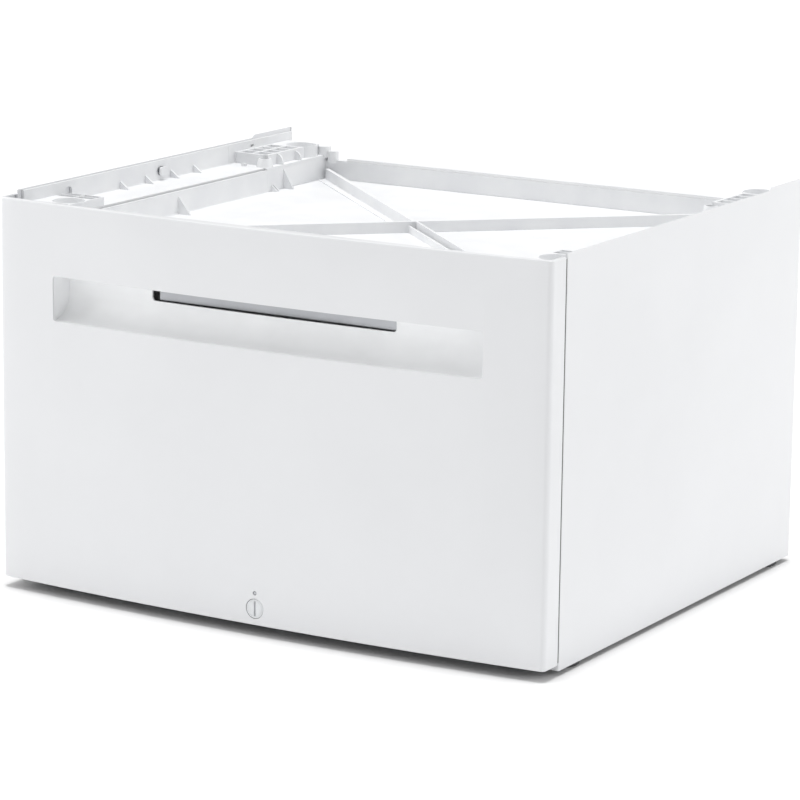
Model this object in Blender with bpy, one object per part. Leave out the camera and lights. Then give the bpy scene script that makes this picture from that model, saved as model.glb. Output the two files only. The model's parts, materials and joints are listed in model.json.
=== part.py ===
"""Laundry pedestal with a drawer: the steel plinth that a 60 cm front-loading machine stands on.

Metres, +Z up, the front faces -Y, and the origin is on the floor below the middle of the body.
"""

import math

import bmesh
import bpy
from mathutils import Matrix, Vector

# ---------------------------------------------------------------- driving dimensions
# Body
WIDTH = 0.600
DEPTH = 0.528  # from the crown of the bowed front to the rear edge of the side panels
SIDE_HEIGHT = 0.382
FLOOR_GAP = 0.005  # under the side panels
SHEET = 0.001  # painted outer sheet
PLATE = 0.0012  # folded inner sheet
RAIL = 0.0015  # load-bearing channels
FIT = 0.0003  # gap between pieces that rest on each other
CUT_PAST = 0.002  # how far a cutter runs past the face that it cuts

# Drawer front
FRONT_BOW = 0.013
CORNER_RADIUS = 0.005
RETURN_DEPTH = 0.025
FRONT_RIM = 0.008
FRONT_SEAM = 0.002
FRONT_DROP = 0.003  # below the top of the side panels
FRONT_BOTTOM = 0.0105
INNER_NECK_SPACE = 0.007  # behind the recess, for the release bar and its ears
INNER_STEP_DEPTH = 0.014  # of the inner front below its step, behind its neck
INNER_TOP_DROP = 0.004
INNER_FLANGE_CLEARANCE = 0.005
INNER_FLANGE_RISE = 0.006  # of the inner front's flange above the lower edge of the front
INNER_BELOW_BOX = 0.002  # of the inner front below the drawer box
INNER_STEP_DROP = 0.0027  # of the inner front's step below the top of the recess
STIFFENER_FRONT_GAP = 0.005
STIFFENER_BACK_GAP = 0.006
STIFFENER_ABOVE_HANDLE = 0.0213
STIFFENER_TOP_GAP = 0.006
STIFFENER_END_GAP = 0.014

# Side and rear panels
SIDE_FLANGE = 0.019
FIN_RISE = 0.003
FIN_LENGTH = 0.075
BEND_RADIUS = 0.0018
REAR_PANEL_SETBACK = 0.0042
REAR_PANEL_TOP_GAP = 0.004  # below the tray
REAR_SCREW_INSET = 0.022  # from the inner face of the posts
REAR_SCREW_LENGTH = 0.008

# Top mouldings and the tray between them
MOULDING = 0.0025
SHELF_WIDTH = 0.052
SHELF_DROP = 0.0215
SHELF_GROOVE = 0.0015
RIM_DROP = 0.0015
TRAY_WALL_DROP = 0.0235
TRAY_FLOOR_DROP = 0.0465
TRAY_REAR_INSET = 0.010
TOP_FRONT_CLEARANCE = 0.0025
TRAY_RIB_HEIGHT = 0.011
TRAY_RIB_WIDTH = 0.006
MOULDING_SEAM = 0.125  # from the rear edge to the joint between front and rear mouldings
REAR_LEDGE_LOW = 0.026
REAR_LEDGE_STEP = 0.003
GUSSET_FOOT = 0.012
GUSSET_HEIGHT = 0.017
GUSSET_EDGE = 0.001  # height of a gusset at its foot
FRONT_GUSSET_Y = -0.024
REAR_GUSSET_Y = 0.170
RIB_END_NEAR = 0.004  # the ribs stop short of the tray's corners
RIB_END_FAR = 0.008

# Sockets that take the feet of the machine on top
SOCKET_INSET = 0.033
SOCKET_FROM_REAR = 0.029
SOCKET_RADIUS = 0.016
SOCKET_DEPTH = 0.006
FRONT_BLOCK_LENGTH = 0.070
FRONT_BLOCK_HEIGHT = 0.0085
REAR_BLOCK_LENGTH = 0.1115
REAR_BLOCK_HEIGHT = 0.0115
REAR_BLOCK_END_GAP = 0.0092

# Slots and screws that hold the side panels to the shelves
SIDE_SCREW_Y = 0.015
SIDE_SCREW_DROP = 0.012
SIDE_SLOT_LENGTH = 0.012
SIDE_SLOT_HEIGHT = 0.009

# Frame
POST_INSET = 0.041
POST_LENGTH = 0.034
POST_FRONT_GAP = 0.004  # behind the drawer's inner front
BASE_BOTTOM = 0.006
BASE_HEIGHT = 0.014
BASE_RAIL_WIDTH = 0.030
BASE_RAIL_OVERLAP = 0.003  # the side rails are this much narrower than the posts
FRONT_RAIL_SETBACK = 0.002
CROSS_BAR_HEIGHT = 0.030
CROSS_BAR_WIDTH = 0.024

# Levelling feet
FOOT_RADIUS = 0.019
FOOT_PAD_HEIGHT = 0.0055
FOOT_CHAMFER = 0.001
STEM_RADIUS = 0.005
STEM_TOP = 0.045
FOOT_HEX = 0.017  # across flats
FOOT_HEX_HEIGHT = 0.007
NUT_HEIGHT = 0.008
HOLE_CLEARANCE = 0.0004

# Drawer box and its slides
DRAWER_BOTTOM = 0.042
DRAWER_SIDE_HEIGHT = 0.220
DRAWER_BACK_DROP = 0.012
DRAWER_REAR_CLEARANCE = 0.049
DRAWER_TOP_FLANGE = 0.011
DRAWER_BOTTOM_FLANGE = 0.015
SLIDE_THICKNESS = 0.0127
SLIDE_HEIGHT = 0.0476
SLIDE_CENTRE_HEIGHT = 0.110
SLIDE_BALL_SPACE = 0.003
SLIDE_WALL = 0.0012
SLIDE_FRONT_CLEARANCE = 0.005
SLIDE_WEB_SPACE = 0.002  # between the webs of the outer and middle members
SLIDE_INNER_SPACE = 0.0022  # between the web of the middle member and the lips of the inner one
OUTER_LIP_SHORT = 0.0015  # the lips stop short of the face of the inner member
MIDDLE_LIP_SHORT = 0.0025
DRAWER_BACK_FLANGE = 0.010

# Handle recess in the front
HANDLE_WIDTH = 0.468
HANDLE_HEIGHT = 0.0432
HANDLE_DROP = 0.0693
HANDLE_DEPTH = 0.025
HANDLE_WALL = 0.002
HANDLE_FLANGE = 0.007
HANDLE_CORNER = 0.003
SCOOP_HEIGHT = 0.0275
SCOOP_SWELL = 0.55  # share of the depth at which the back of the scoop starts to rise
SCOOP_RISE = 0.45  # share of the scoop's height at which it meets the back wall
SLOT_WIDTH = 0.267
SLOT_CORNER = 0.002

# Release bar behind the slot
BAR_LENGTH = 0.260
BAR_THICKNESS = 0.002
BAR_CLEARANCE = 0.001
PIVOT_SETBACK = 0.0085
PIVOT_RISE = 0.0033
KNUCKLE_RADIUS = 0.0042
ROD_RADIUS = 0.002
EAR_THICKNESS = 0.003
EAR_MARGIN = 0.0085
EAR_HALF_HEIGHT = 0.0055
EAR_BEHIND_PIVOT = 0.0035
EAR_CORNER = 0.002
BLADE_THROAT = 0.0045  # below the pivot, where the blade turns back to its knuckle
BLADE_NECK = 0.002  # half the height of the blade at its knuckle
ROD_END = 0.0015  # past the ears
SPRING_WIRE = 0.0004
SPRING_TURNS = 5
SPRING_STEPS = 10  # points in each turn
HOOK_HALF_WIDTH = 0.012
HOOK_CLEARANCE = 0.001  # above the lip of the strike
HOOK_THICKNESS = 0.002
HOOK_DROP = 0.003  # below the arm
HOOK_ARM_HEIGHT = 0.0025
HOOK_ARM_DROP = 0.001  # of the underside of the arm below the pivot
STRIKE_BEHIND_DRAWER = 0.0007
STRIKE_LIP_SPACE = 0.0028  # from the lip to the hook
STRIKE_PLATE_SPACE = 0.0012  # from the hook to the plate
STRIKE_DEPTH = 0.008
STRIKE_RISE = 0.006
STRIKE_HALF_WIDTH = 0.014
STRIKE_BEND = 0.002
WINDOW_MARGIN = 0.004
WINDOW_RISE = 0.0005
WINDOW_HEIGHT = 0.015

# Coin lock
LOCK_RADIUS = 0.0092
LOCK_CLEARANCE = 0.0011  # between the housing's flange and the lower rim of the front
LOCK_RECESS = 0.0002
LOCK_LENGTH = 0.0218
LOCK_BOSS_LENGTH = 0.0055
LOCK_FLANGE = 0.0045
LOCK_FLANGE_THICKNESS = 0.002
HOUSING_WALL = 0.002
HOUSING_SHORT = 0.002  # the housing stops short of the barrel's end
COIN_SLOT_WIDTH = 0.0022
COIN_SLOT_LENGTH = 0.0145
COIN_SLOT_DEPTH = 0.0025
CAM_LENGTH = 0.015
CAM_WIDTH = 0.008
CAM_THICKNESS = 0.002
CAM_SETBACK = 0.0015
CAM_HEAD = 0.006  # above the lock's axis
CAM_TIP_CORNER = 0.002
CAM_HEAD_CORNER = 0.0035
CAM_BOSS_RADIUS = 0.0035
KEEPER_CLEARANCE = 0.001  # beyond the cam's tip
KEEPER_AHEAD = 0.006  # in front of the cam
KEEPER_FOOT = 0.016
KEEPER_BEND = 0.002
KEEPER_ABOVE_LOCK = 0.006
KEEPER_ABOVE_BASE = 0.002

# Small parts
BUMPER_RADIUS = 0.004
BUMPER_CHAMFER = 0.0005
BUMPER_FROM_FLANGE = 0.003
BUMPER_ABOVE_BOTTOM = 0.020
BUMPER_ABOVE_HANDLE = 0.018
SCREW_HEAD_RADIUS = 0.004
SCREW_HEAD_HEIGHT = 0.002
SCREW_RADIUS = 0.0019

# ---------------------------------------------------------------- derived places
HALF = WIDTH / 2
FRONT_Y = -DEPTH / 2
CORNER_Y = FRONT_Y + FRONT_BOW
REAR_Y = DEPTH / 2
SIDE_TOP = FLOOR_GAP + SIDE_HEIGHT
FRONT_TOP = SIDE_TOP - FRONT_DROP
BOW_RADIUS = (HALF**2 + FRONT_BOW**2) / (2 * FRONT_BOW)

RETURN_Y = CORNER_Y + RETURN_DEPTH
SIDE_FRONT_Y = RETURN_Y + FRONT_SEAM
INNER_NECK_Y = CORNER_Y + HANDLE_DEPTH + INNER_NECK_SPACE
INNER_BACK_Y = INNER_NECK_Y + INNER_STEP_DEPTH
INNER_HALF = HALF - SIDE_FLANGE - INNER_FLANGE_CLEARANCE
INNER_TOP = FRONT_TOP - INNER_TOP_DROP
INNER_BOTTOM = DRAWER_BOTTOM - INNER_BELOW_BOX
INNER_STEP = FRONT_TOP - HANDLE_DROP - INNER_STEP_DROP

SHELF_TOP = SIDE_TOP - SHELF_DROP
TRAY_WALL_TOP = SIDE_TOP - TRAY_WALL_DROP
TRAY_FLOOR_TOP = SIDE_TOP - TRAY_FLOOR_DROP
TRAY_FLOOR_BOTTOM = TRAY_FLOOR_TOP - MOULDING
TRAY_HALF = HALF - SHELF_WIDTH
TOP_FRONT_Y = INNER_NECK_Y + TOP_FRONT_CLEARANCE
TRAY_FRONT_Y = TOP_FRONT_Y + MOULDING
TRAY_REAR_Y = REAR_Y - TRAY_REAR_INSET
SEAM_Y = REAR_Y - MOULDING_SEAM
PANEL_INNER = HALF - SHEET
MOULDING_OUTER = PANEL_INNER - FIT
TOP_REAR_Y = REAR_Y - SHEET - FIT

SOCKET_X = HALF - SOCKET_INSET
FRONT_SOCKET_Y = INNER_BACK_Y + POST_FRONT_GAP + POST_LENGTH / 2
REAR_SOCKET_Y = REAR_Y - SOCKET_FROM_REAR

POST_INNER = HALF - POST_INSET
POST_OUTER = PANEL_INNER - 2 * FIT
FOOT_X = (POST_INNER + POST_OUTER) / 2
BASE_TOP = BASE_BOTTOM + BASE_HEIGHT
BASE_RAIL_INNER = POST_INNER + BASE_RAIL_OVERLAP
CROSS_BAR_TOP = TRAY_FLOOR_BOTTOM - FIT
REAR_PANEL_Y = REAR_Y - REAR_PANEL_SETBACK
REAR_RAIL_BACK_Y = REAR_PANEL_Y - SHEET - FIT
FRONT_RAIL_Y = SIDE_FRONT_Y + FRONT_RAIL_SETBACK

SLIDE_BACK = POST_INNER - FIT
SLIDE_INNER = SLIDE_BACK - SLIDE_THICKNESS
DRAWER_OUTER = SLIDE_INNER - FIT
DRAWER_FRONT_Y = INNER_BACK_Y + FIT
DRAWER_REAR_Y = REAR_Y - DRAWER_REAR_CLEARANCE
DRAWER_TOP = DRAWER_BOTTOM + DRAWER_SIDE_HEIGHT
SLIDE_FRONT_Y = INNER_BACK_Y + SLIDE_FRONT_CLEARANCE

HANDLE_TOP = FRONT_TOP - HANDLE_DROP
HANDLE_BOTTOM = HANDLE_TOP - HANDLE_HEIGHT
SLOT_BOTTOM = HANDLE_BOTTOM + SCOOP_HEIGHT

LOCK_HEIGHT = FRONT_BOTTOM + SHEET + LOCK_CLEARANCE + LOCK_FLANGE + LOCK_RADIUS
LOCK_FACE_Y = FRONT_Y + LOCK_RECESS
LOCK_END_Y = LOCK_FACE_Y + LOCK_LENGTH
CAM_Y = LOCK_END_Y + CAM_SETBACK

COLOURS = {
    "painted_sheet": ("F1F2F4", 0.32, 0.0),
    "galvanised_steel": ("A9ADB1", 0.42, 1.0),
    "white_moulding": ("E6E7E8", 0.5, 0.0),
    "grey_moulding": ("C4C6C9", 0.45, 0.0),
    "spring_steel": ("8E9296", 0.3, 1.0),
    "dark_plastic": ("3A3B3D", 0.55, 0.0),
    "rubber": ("2A2A2B", 0.8, 0.0),
    "lock_zinc": ("D7D9DB", 0.35, 0.0),
}


# ---------------------------------------------------------------- scene and materials
def clear_scene():
    for obj in list(bpy.data.objects):
        bpy.data.objects.remove(obj, do_unlink=True)


def linear(channel):
    return channel / 12.92 if channel <= 0.04045 else ((channel + 0.055) / 1.055) ** 2.4


def make_material(name):
    if name in bpy.data.materials:
        return bpy.data.materials[name]
    hex_colour, roughness, metallic = COLOURS[name]
    channels = [int(hex_colour[i : i + 2], 16) / 255 for i in (0, 2, 4)]
    material = bpy.data.materials.new(name)
    material.use_nodes = True
    shader = material.node_tree.nodes["Principled BSDF"]
    shader.inputs["Base Color"].default_value = [linear(c) for c in channels] + [1.0]
    shader.inputs["Roughness"].default_value = roughness
    shader.inputs["Metallic"].default_value = metallic
    return material


# ---------------------------------------------------------------- outlines
def rounded(points, radii, steps=3):
    """A closed outline with its corners turned into arcs; radii is one radius or one per corner."""
    count = len(points)
    sizes = [radii] * count if isinstance(radii, (int, float)) else list(radii)
    outline = []
    for i, radius in enumerate(sizes):
        corner = Vector(points[i])
        if radius <= 0:
            outline.append(tuple(corner))
            continue
        before = (Vector(points[i - 1]) - corner).normalized()
        after = (Vector(points[(i + 1) % count]) - corner).normalized()
        half_angle = before.angle(after) / 2
        reach = radius / math.tan(half_angle)
        centre = corner + (before + after).normalized() * radius / math.sin(half_angle)
        start = corner + before * reach - centre
        sweep = start.angle_signed(corner + after * reach - centre)
        for k in range(steps + 1):
            turn = Matrix.Rotation(-sweep * k / steps, 2)
            outline.append(tuple(centre + turn @ start))
    return outline


def folded(path, thickness, radius=BEND_RADIUS):
    """The outline of a sheet folded along an open path, its thickness on the path's left."""
    points = [Vector(p) for p in path]
    normals = []
    for a, b in zip(points, points[1:]):
        along = (b - a).normalized()
        normals.append(Vector((-along.y, along.x)))
    inner = [points[0] + normals[0] * thickness]
    for point, n, m in zip(points[1:-1], normals, normals[1:]):
        inner.append(point + (n + m) * thickness / (1 + n.dot(m)))
    inner.append(points[-1] + normals[-1] * thickness)
    outer_radii = [0.0]
    inner_radii = [0.0]
    for n, m in zip(normals, normals[1:]):
        left_turn = n.x * m.y - n.y * m.x > 0
        outer_radii.append(radius if left_turn else radius - thickness)
        inner_radii.append(radius - thickness if left_turn else radius)
    outer_radii.append(0.0)
    inner_radii.append(0.0)
    outline = [tuple(p) for p in points] + [tuple(p) for p in reversed(inner)]
    return rounded(outline, outer_radii + inner_radii[::-1], steps=2)


def mirrored(outline, sign):
    return [(sign * a, b) for a, b in outline]


def bow_y(x):
    """The outer face of the front at x."""
    return FRONT_Y + BOW_RADIUS - math.sqrt(BOW_RADIUS**2 - x**2)


def front_outline(inset, back_y):
    """The bowed front with its side returns in plan, moved inwards by inset."""
    side = HALF - inset
    steps = 20
    arc = []
    for k in range(steps + 1):
        x = -side + 2 * side * k / steps
        arc.append((x, bow_y(x) + inset))
    corner = max(CORNER_RADIUS - inset, 0.0005)
    radii = [corner] + [0.0] * (steps - 1) + [corner, 0.0, 0.0]
    return rounded(arc + [(side, back_y), (-side, back_y)], radii)


def circle(radius, steps, centre=(0.0, 0.0), start=0.0):
    turns = [start + 2 * math.pi * k / steps for k in range(steps)]
    return [(centre[0] + radius * math.cos(t), centre[1] + radius * math.sin(t)) for t in turns]


def hexagon(across_flats, centre=(0.0, 0.0)):
    return circle(across_flats / math.sqrt(3), 6, centre)


def rectangle(low, high):
    return [(low[0], low[1]), (high[0], low[1]), (high[0], high[1]), (low[0], high[1])]


# ---------------------------------------------------------------- solids
def prism(outline, axis, start, end):
    """An outline in the plane across axis, extruded along it. The outline's two numbers are the
    other two coordinates, in X, Y, Z order."""
    place = {
        "X": lambda a, b: (start, a, b),
        "Y": lambda a, b: (a, start, b),
        "Z": lambda a, b: (a, b, start),
    }[axis]
    shift = {"X": (1, 0, 0), "Y": (0, 1, 0), "Z": (0, 0, 1)}[axis]
    solid = bmesh.new()
    face = solid.faces.new([solid.verts.new(place(a, b)) for a, b in outline])
    extruded = bmesh.ops.extrude_face_region(solid, geom=[face])
    moved = [v for v in extruded["geom"] if isinstance(v, bmesh.types.BMVert)]
    bmesh.ops.translate(solid, verts=moved, vec=Vector(shift) * (end - start))
    bmesh.ops.recalc_face_normals(solid, faces=solid.faces)
    return solid


def box(low, high):
    return prism(rectangle(low[:2], high[:2]), "Z", low[2], high[2])


def sided_box(sign, x_near, x_far, low, high):
    """A box between two distances from the middle plane, on the side that sign names."""
    x_low, x_high = sorted((sign * x_near, sign * x_far))
    return box((x_low, low[0], low[1]), (x_high, high[0], high[1]))


def turned(profile, axis, centre, steps=24):
    """A profile of (radius, height) points, turned about axis through centre."""
    solid = bmesh.new()
    ring = [solid.verts.new((radius, 0.0, height)) for radius, height in profile]
    edges = [solid.edges.new(pair) for pair in zip(ring, ring[1:])]
    bmesh.ops.spin(
        solid,
        geom=ring + edges,
        cent=(0, 0, 0),
        axis=(0, 0, 1),
        angle=2 * math.pi,
        steps=steps,
        use_merge=True,
    )
    bmesh.ops.remove_doubles(solid, verts=solid.verts, dist=1e-6)
    bmesh.ops.recalc_face_normals(solid, faces=solid.faces)
    turn = {
        "X": Matrix.Rotation(math.pi / 2, 3, "Y"),
        "Y": Matrix.Rotation(-math.pi / 2, 3, "X"),
        "Z": Matrix.Identity(3),
    }[axis]
    bmesh.ops.transform(solid, matrix=Matrix.Translation(centre) @ turn.to_4x4(), verts=solid.verts)
    return solid


def bowed(section, half_width, steps=16):
    """A section of (depth behind the front's outer face, height), swept along the bowed front."""
    solid = bmesh.new()
    loops = []
    for k in range(steps + 1):
        x = -half_width + 2 * half_width * k / steps
        loops.append([solid.verts.new((x, bow_y(x) + depth, z)) for depth, z in section])
    for one, two in zip(loops, loops[1:]):
        for i in range(len(section)):
            j = (i + 1) % len(section)
            solid.faces.new((one[i], one[j], two[j], two[i]))
    solid.faces.new(loops[0])
    solid.faces.new(loops[-1])
    bmesh.ops.recalc_face_normals(solid, faces=solid.faces)
    return solid


# ---------------------------------------------------------------- objects
def make_axis(name, location):
    axis = bpy.data.objects.new(name, None)
    axis.location = location
    axis.empty_display_size = 0.02
    bpy.context.scene.collection.objects.link(axis)
    return axis


def add_object(name, data, material, origin, parent):
    obj = bpy.data.objects.new(name, data)
    anchor = parent.location if parent else Vector((0, 0, 0))
    obj.parent = parent
    obj.location = Vector(origin) - anchor
    data.materials.append(make_material(material))
    bpy.context.scene.collection.objects.link(obj)
    return obj


def to_mesh(solid, name, origin):
    bmesh.ops.translate(solid, verts=solid.verts, vec=-Vector(origin))
    mesh = bpy.data.meshes.new(name)
    solid.to_mesh(mesh)
    solid.free()
    return mesh


def node(name, solids, material, cuts=(), parent=None, origin=None, smooth=False):
    """One named piece: the first solid, joined with the others, less the cuts."""
    where = origin or (parent.location if parent else (0, 0, 0))
    mesh = to_mesh(solids[0], name, where)
    if smooth:
        mesh.shade_smooth()
        mesh.set_sharp_from_angle(angle=math.radians(40))
    piece = add_object(name, mesh, material, where, parent)
    helpers = [("UNION", s) for s in solids[1:]] + [("DIFFERENCE", c) for c in cuts]
    for index, (operation, solid) in enumerate(helpers):
        title = f"{name}_{operation.lower()}_{index}"
        helper = add_object(title, to_mesh(solid, title, where), material, where, parent)
        helper.hide_render = True
        helper.display_type = "WIRE"
        modifier = piece.modifiers.new(title, "BOOLEAN")
        modifier.operation = operation
        modifier.object = helper
        modifier.solver = "EXACT"
    return piece


def wire(name, points, radius, material, parent):
    curve = bpy.data.curves.new(name, "CURVE")
    curve.dimensions = "3D"
    curve.bevel_depth = radius
    curve.bevel_resolution = 1
    curve.use_fill_caps = True
    spline = curve.splines.new("POLY")
    spline.points.add(len(points) - 1)
    for target, point in zip(spline.points, points):
        target.co = (*(Vector(point) - parent.location), 1.0)
    return add_object(name, curve, material, parent.location, parent)


def screw(name, axis, under_head, length, pointing, material="galvanised_steel"):
    """A pan-head screw; under_head is the point under its head, pointing the way its shank goes."""
    head = SCREW_HEAD_HEIGHT
    profile = [
        (0, -head),
        (SCREW_HEAD_RADIUS * 0.7, -head),
        (SCREW_HEAD_RADIUS, -head * 0.4),
        (SCREW_HEAD_RADIUS, 0),
        (SCREW_RADIUS, 0),
        (SCREW_RADIUS, length),
        (0, length),
    ]
    profile = [(radius, pointing * height) for radius, height in profile]
    node(name, [turned(profile, axis, under_head, 16)], material, origin=under_head, smooth=True)


SIDES = (("left", -1), ("right", 1))


# ---------------------------------------------------------------- cabinet
def build_side_panels():
    fin_y = REAR_Y - FIN_LENGTH
    path = [
        (HALF - SIDE_FLANGE, SIDE_FRONT_Y),
        (HALF, SIDE_FRONT_Y),
        (HALF, REAR_Y),
        (HALF - SIDE_FLANGE, REAR_Y),
    ]
    for side, sign in SIDES:
        wall = prism(mirrored(folded(path, SHEET), sign), "Z", FLOOR_GAP, SIDE_TOP + FIN_RISE)
        cut = sided_box(
            sign,
            HALF - SIDE_FLANGE - CUT_PAST,
            HALF + CUT_PAST,
            (SIDE_FRONT_Y - CUT_PAST, SIDE_TOP),
            (fin_y, SIDE_TOP + FIN_RISE + CUT_PAST),
        )
        node(f"side_panel_{side}", [wall], "painted_sheet", [cut])


def rear_screw_places():
    """Two screws into the lower rear rail and two into the upper rear cross bar."""
    x = POST_INNER - REAR_SCREW_INSET
    heights = (BASE_BOTTOM + BASE_HEIGHT / 2, CROSS_BAR_TOP - CROSS_BAR_HEIGHT / 2)
    places = []
    for side, sign in SIDES:
        for level, height in zip(("lower", "upper"), heights):
            places.append((f"rear_screw_{side}_{level}", sign * x, height))
    return places


def rear_screw_holes():
    radius = SCREW_RADIUS + HOLE_CLEARANCE
    start = REAR_RAIL_BACK_Y - RAIL - CUT_PAST
    end = REAR_PANEL_Y + CUT_PAST
    return [prism(circle(radius, 12, (x, z)), "Y", start, end) for _, x, z in rear_screw_places()]


def build_rear_panel():
    panel = box(
        (-POST_OUTER, REAR_PANEL_Y - SHEET, BASE_BOTTOM),
        (POST_OUTER, REAR_PANEL_Y, TRAY_FLOOR_BOTTOM - REAR_PANEL_TOP_GAP),
    )
    node("rear_panel", [panel], "painted_sheet", rear_screw_holes())
    for name, x, z in rear_screw_places():
        screw(name, "Y", (x, REAR_PANEL_Y + FIT, z), REAR_SCREW_LENGTH, -1)


def channel_down(near, far, low, high):
    """An inverted U in the plane across a rail."""
    return folded([(near, low), (near, high), (far, high), (far, low)][::-1], RAIL)


def foot_places():
    return [
        (f"{row}_{side}", sign * FOOT_X, y)
        for row, y in (("front", FRONT_SOCKET_Y), ("rear", REAR_SOCKET_Y))
        for side, sign in SIDES
    ]


def build_base():
    holes = {}
    for name, x, y in foot_places():
        radius = STEM_RADIUS + HOLE_CLEARANCE
        outline = circle(radius, 24, (x, y))
        hole = prism(outline, "Z", BASE_TOP - RAIL - CUT_PAST, BASE_TOP + CUT_PAST)
        holes.setdefault(name.split("_")[1], []).append(hole)
    outer = POST_OUTER
    for side, sign in SIDES:
        outline = mirrored(channel_down(BASE_RAIL_INNER, outer, BASE_BOTTOM, BASE_TOP), sign)
        rail = prism(outline, "Y", FRONT_RAIL_Y, REAR_RAIL_BACK_Y)
        node(f"base_rail_{side}", [rail], "galvanised_steel", holes[side])
    length = BASE_RAIL_INNER - FIT
    rows = (
        ("front", FRONT_RAIL_Y, FRONT_RAIL_Y + BASE_RAIL_WIDTH, []),
        ("rear", REAR_RAIL_BACK_Y - BASE_RAIL_WIDTH, REAR_RAIL_BACK_Y, rear_screw_holes()[::2]),
    )
    for row, near, far, cuts in rows:
        rail = prism(channel_down(near, far, BASE_BOTTOM, BASE_TOP), "X", -length, length)
        node(f"base_rail_{row}", [rail], "galvanised_steel", cuts)


def build_posts():
    for row, y in (("front", FRONT_SOCKET_Y), ("rear", REAR_SOCKET_Y)):
        path = [
            (POST_OUTER, y + POST_LENGTH / 2),
            (POST_INNER, y + POST_LENGTH / 2),
            (POST_INNER, y - POST_LENGTH / 2),
            (POST_OUTER, y - POST_LENGTH / 2),
        ]
        outline = folded(path, RAIL)
        for side, sign in SIDES:
            top = SHELF_TOP - MOULDING - FIT
            post = prism(mirrored(outline, sign), "Z", BASE_TOP + FIT, top)
            node(f"post_{row}_{side}", [post], "galvanised_steel")


def hook_places():
    """Where the strike's lip, the release hook and the cross bar behind them start, front to back."""
    lip = INNER_BACK_Y + STRIKE_BEHIND_DRAWER
    hook = lip + RAIL + STRIKE_LIP_SPACE
    plate = hook + HOOK_THICKNESS + STRIKE_PLATE_SPACE
    return lip, hook, plate + RAIL + FIT


def build_cross_bars():
    front_y = hook_places()[2]
    low = CROSS_BAR_TOP - CROSS_BAR_HEIGHT
    rows = (
        ("front", front_y, front_y + CROSS_BAR_WIDTH, []),
        ("rear", REAR_RAIL_BACK_Y - CROSS_BAR_WIDTH, REAR_RAIL_BACK_Y, rear_screw_holes()[1::2]),
    )
    for row, near, far, cuts in rows:
        outline = channel_down(near, far, low, CROSS_BAR_TOP)
        bar = prism(outline, "X", FIT - POST_INNER, POST_INNER - FIT)
        node(f"cross_bar_{row}", [bar], "galvanised_steel", cuts)


def build_feet():
    for name, x, y in foot_places():
        axis = make_axis(f"foot_axis_{name}", (x, y, 0))
        profile = [
            (0, 0),
            (FOOT_RADIUS - FOOT_CHAMFER, 0),
            (FOOT_RADIUS, FOOT_CHAMFER),
            (FOOT_RADIUS, FOOT_PAD_HEIGHT * 0.6),
            (FOOT_RADIUS * 0.85, FOOT_PAD_HEIGHT),
            (STEM_RADIUS, FOOT_PAD_HEIGHT),
            (STEM_RADIUS, STEM_TOP - FOOT_CHAMFER),
            (STEM_RADIUS - FOOT_CHAMFER, STEM_TOP),
            (0, STEM_TOP),
        ]
        pad = turned(profile, "Z", (x, y, 0), 24)
        hex_top = FOOT_PAD_HEIGHT + FOOT_HEX_HEIGHT
        flats = prism(hexagon(FOOT_HEX, (x, y)), "Z", FOOT_PAD_HEIGHT / 2, hex_top)
        node(f"foot_{name}", [pad, flats], "dark_plastic", parent=axis)
        bottom = BASE_TOP + FIT
        nut = prism(hexagon(FOOT_HEX, (x, y)), "Z", bottom, bottom + NUT_HEIGHT)
        radius = STEM_RADIUS + HOLE_CLEARANCE
        outline = circle(radius, 24, (x, y))
        hole = prism(outline, "Z", bottom - CUT_PAST, bottom + NUT_HEIGHT + CUT_PAST)
        node(f"foot_nut_{name}", [nut], "galvanised_steel", [hole], origin=(x, y, bottom))


# ---------------------------------------------------------------- top mouldings
def gusset(sign, y, base):
    """A small triangular rib in the corner between the tray's side wall and its floor."""
    root = TRAY_HALF + MOULDING / 2
    foot = TRAY_HALF - GUSSET_FOOT
    outline = [
        (root, base),
        (foot, base),
        (foot, TRAY_FLOOR_TOP + GUSSET_EDGE),
        (root, TRAY_FLOOR_TOP + GUSSET_HEIGHT),
    ]
    return prism(mirrored(outline, sign), "Y", y, y + MOULDING)


def tray_rib(sign):
    """One arm of the X that stiffens the tray, from corner to corner."""
    near = Vector((-sign * TRAY_HALF, TRAY_FRONT_Y))
    far = Vector((sign * TRAY_HALF, TRAY_REAR_Y))
    along = (far - near).normalized()
    across = Vector((-along.y, along.x)) * TRAY_RIB_WIDTH / 2
    near = near + along * RIB_END_NEAR
    far = far - along * RIB_END_FAR
    corners = [near - across, far - across, far + across, near + across]
    low = TRAY_FLOOR_TOP - MOULDING / 2
    return prism([tuple(c) for c in corners], "Z", low, TRAY_FLOOR_TOP + TRAY_RIB_HEIGHT)


def build_tray():
    outer = TRAY_HALF + MOULDING
    trough = [
        (-outer, TRAY_FLOOR_BOTTOM),
        (outer, TRAY_FLOOR_BOTTOM),
        (outer, TRAY_WALL_TOP),
        (TRAY_HALF, TRAY_WALL_TOP),
        (TRAY_HALF, TRAY_FLOOR_TOP),
        (-TRAY_HALF, TRAY_FLOOR_TOP),
        (-TRAY_HALF, TRAY_WALL_TOP),
        (-outer, TRAY_WALL_TOP),
    ]
    seam = SEAM_Y - FIT
    floor_start = seam - MOULDING
    floor_end = TRAY_REAR_Y + MOULDING
    solids = [
        prism(trough, "Y", TOP_FRONT_Y, seam),
        box((-outer, floor_start, TRAY_FLOOR_BOTTOM), (outer, floor_end, TRAY_FLOOR_TOP)),
        box((-outer, TOP_FRONT_Y, TRAY_FLOOR_BOTTOM), (outer, TRAY_FRONT_Y, TRAY_WALL_TOP)),
        tray_rib(1),
        tray_rib(-1),
    ]
    for _, sign in SIDES:
        solids.append(gusset(sign, FRONT_GUSSET_Y, TRAY_FLOOR_TOP - MOULDING / 2))
    node("tray", solids, "white_moulding")


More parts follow.
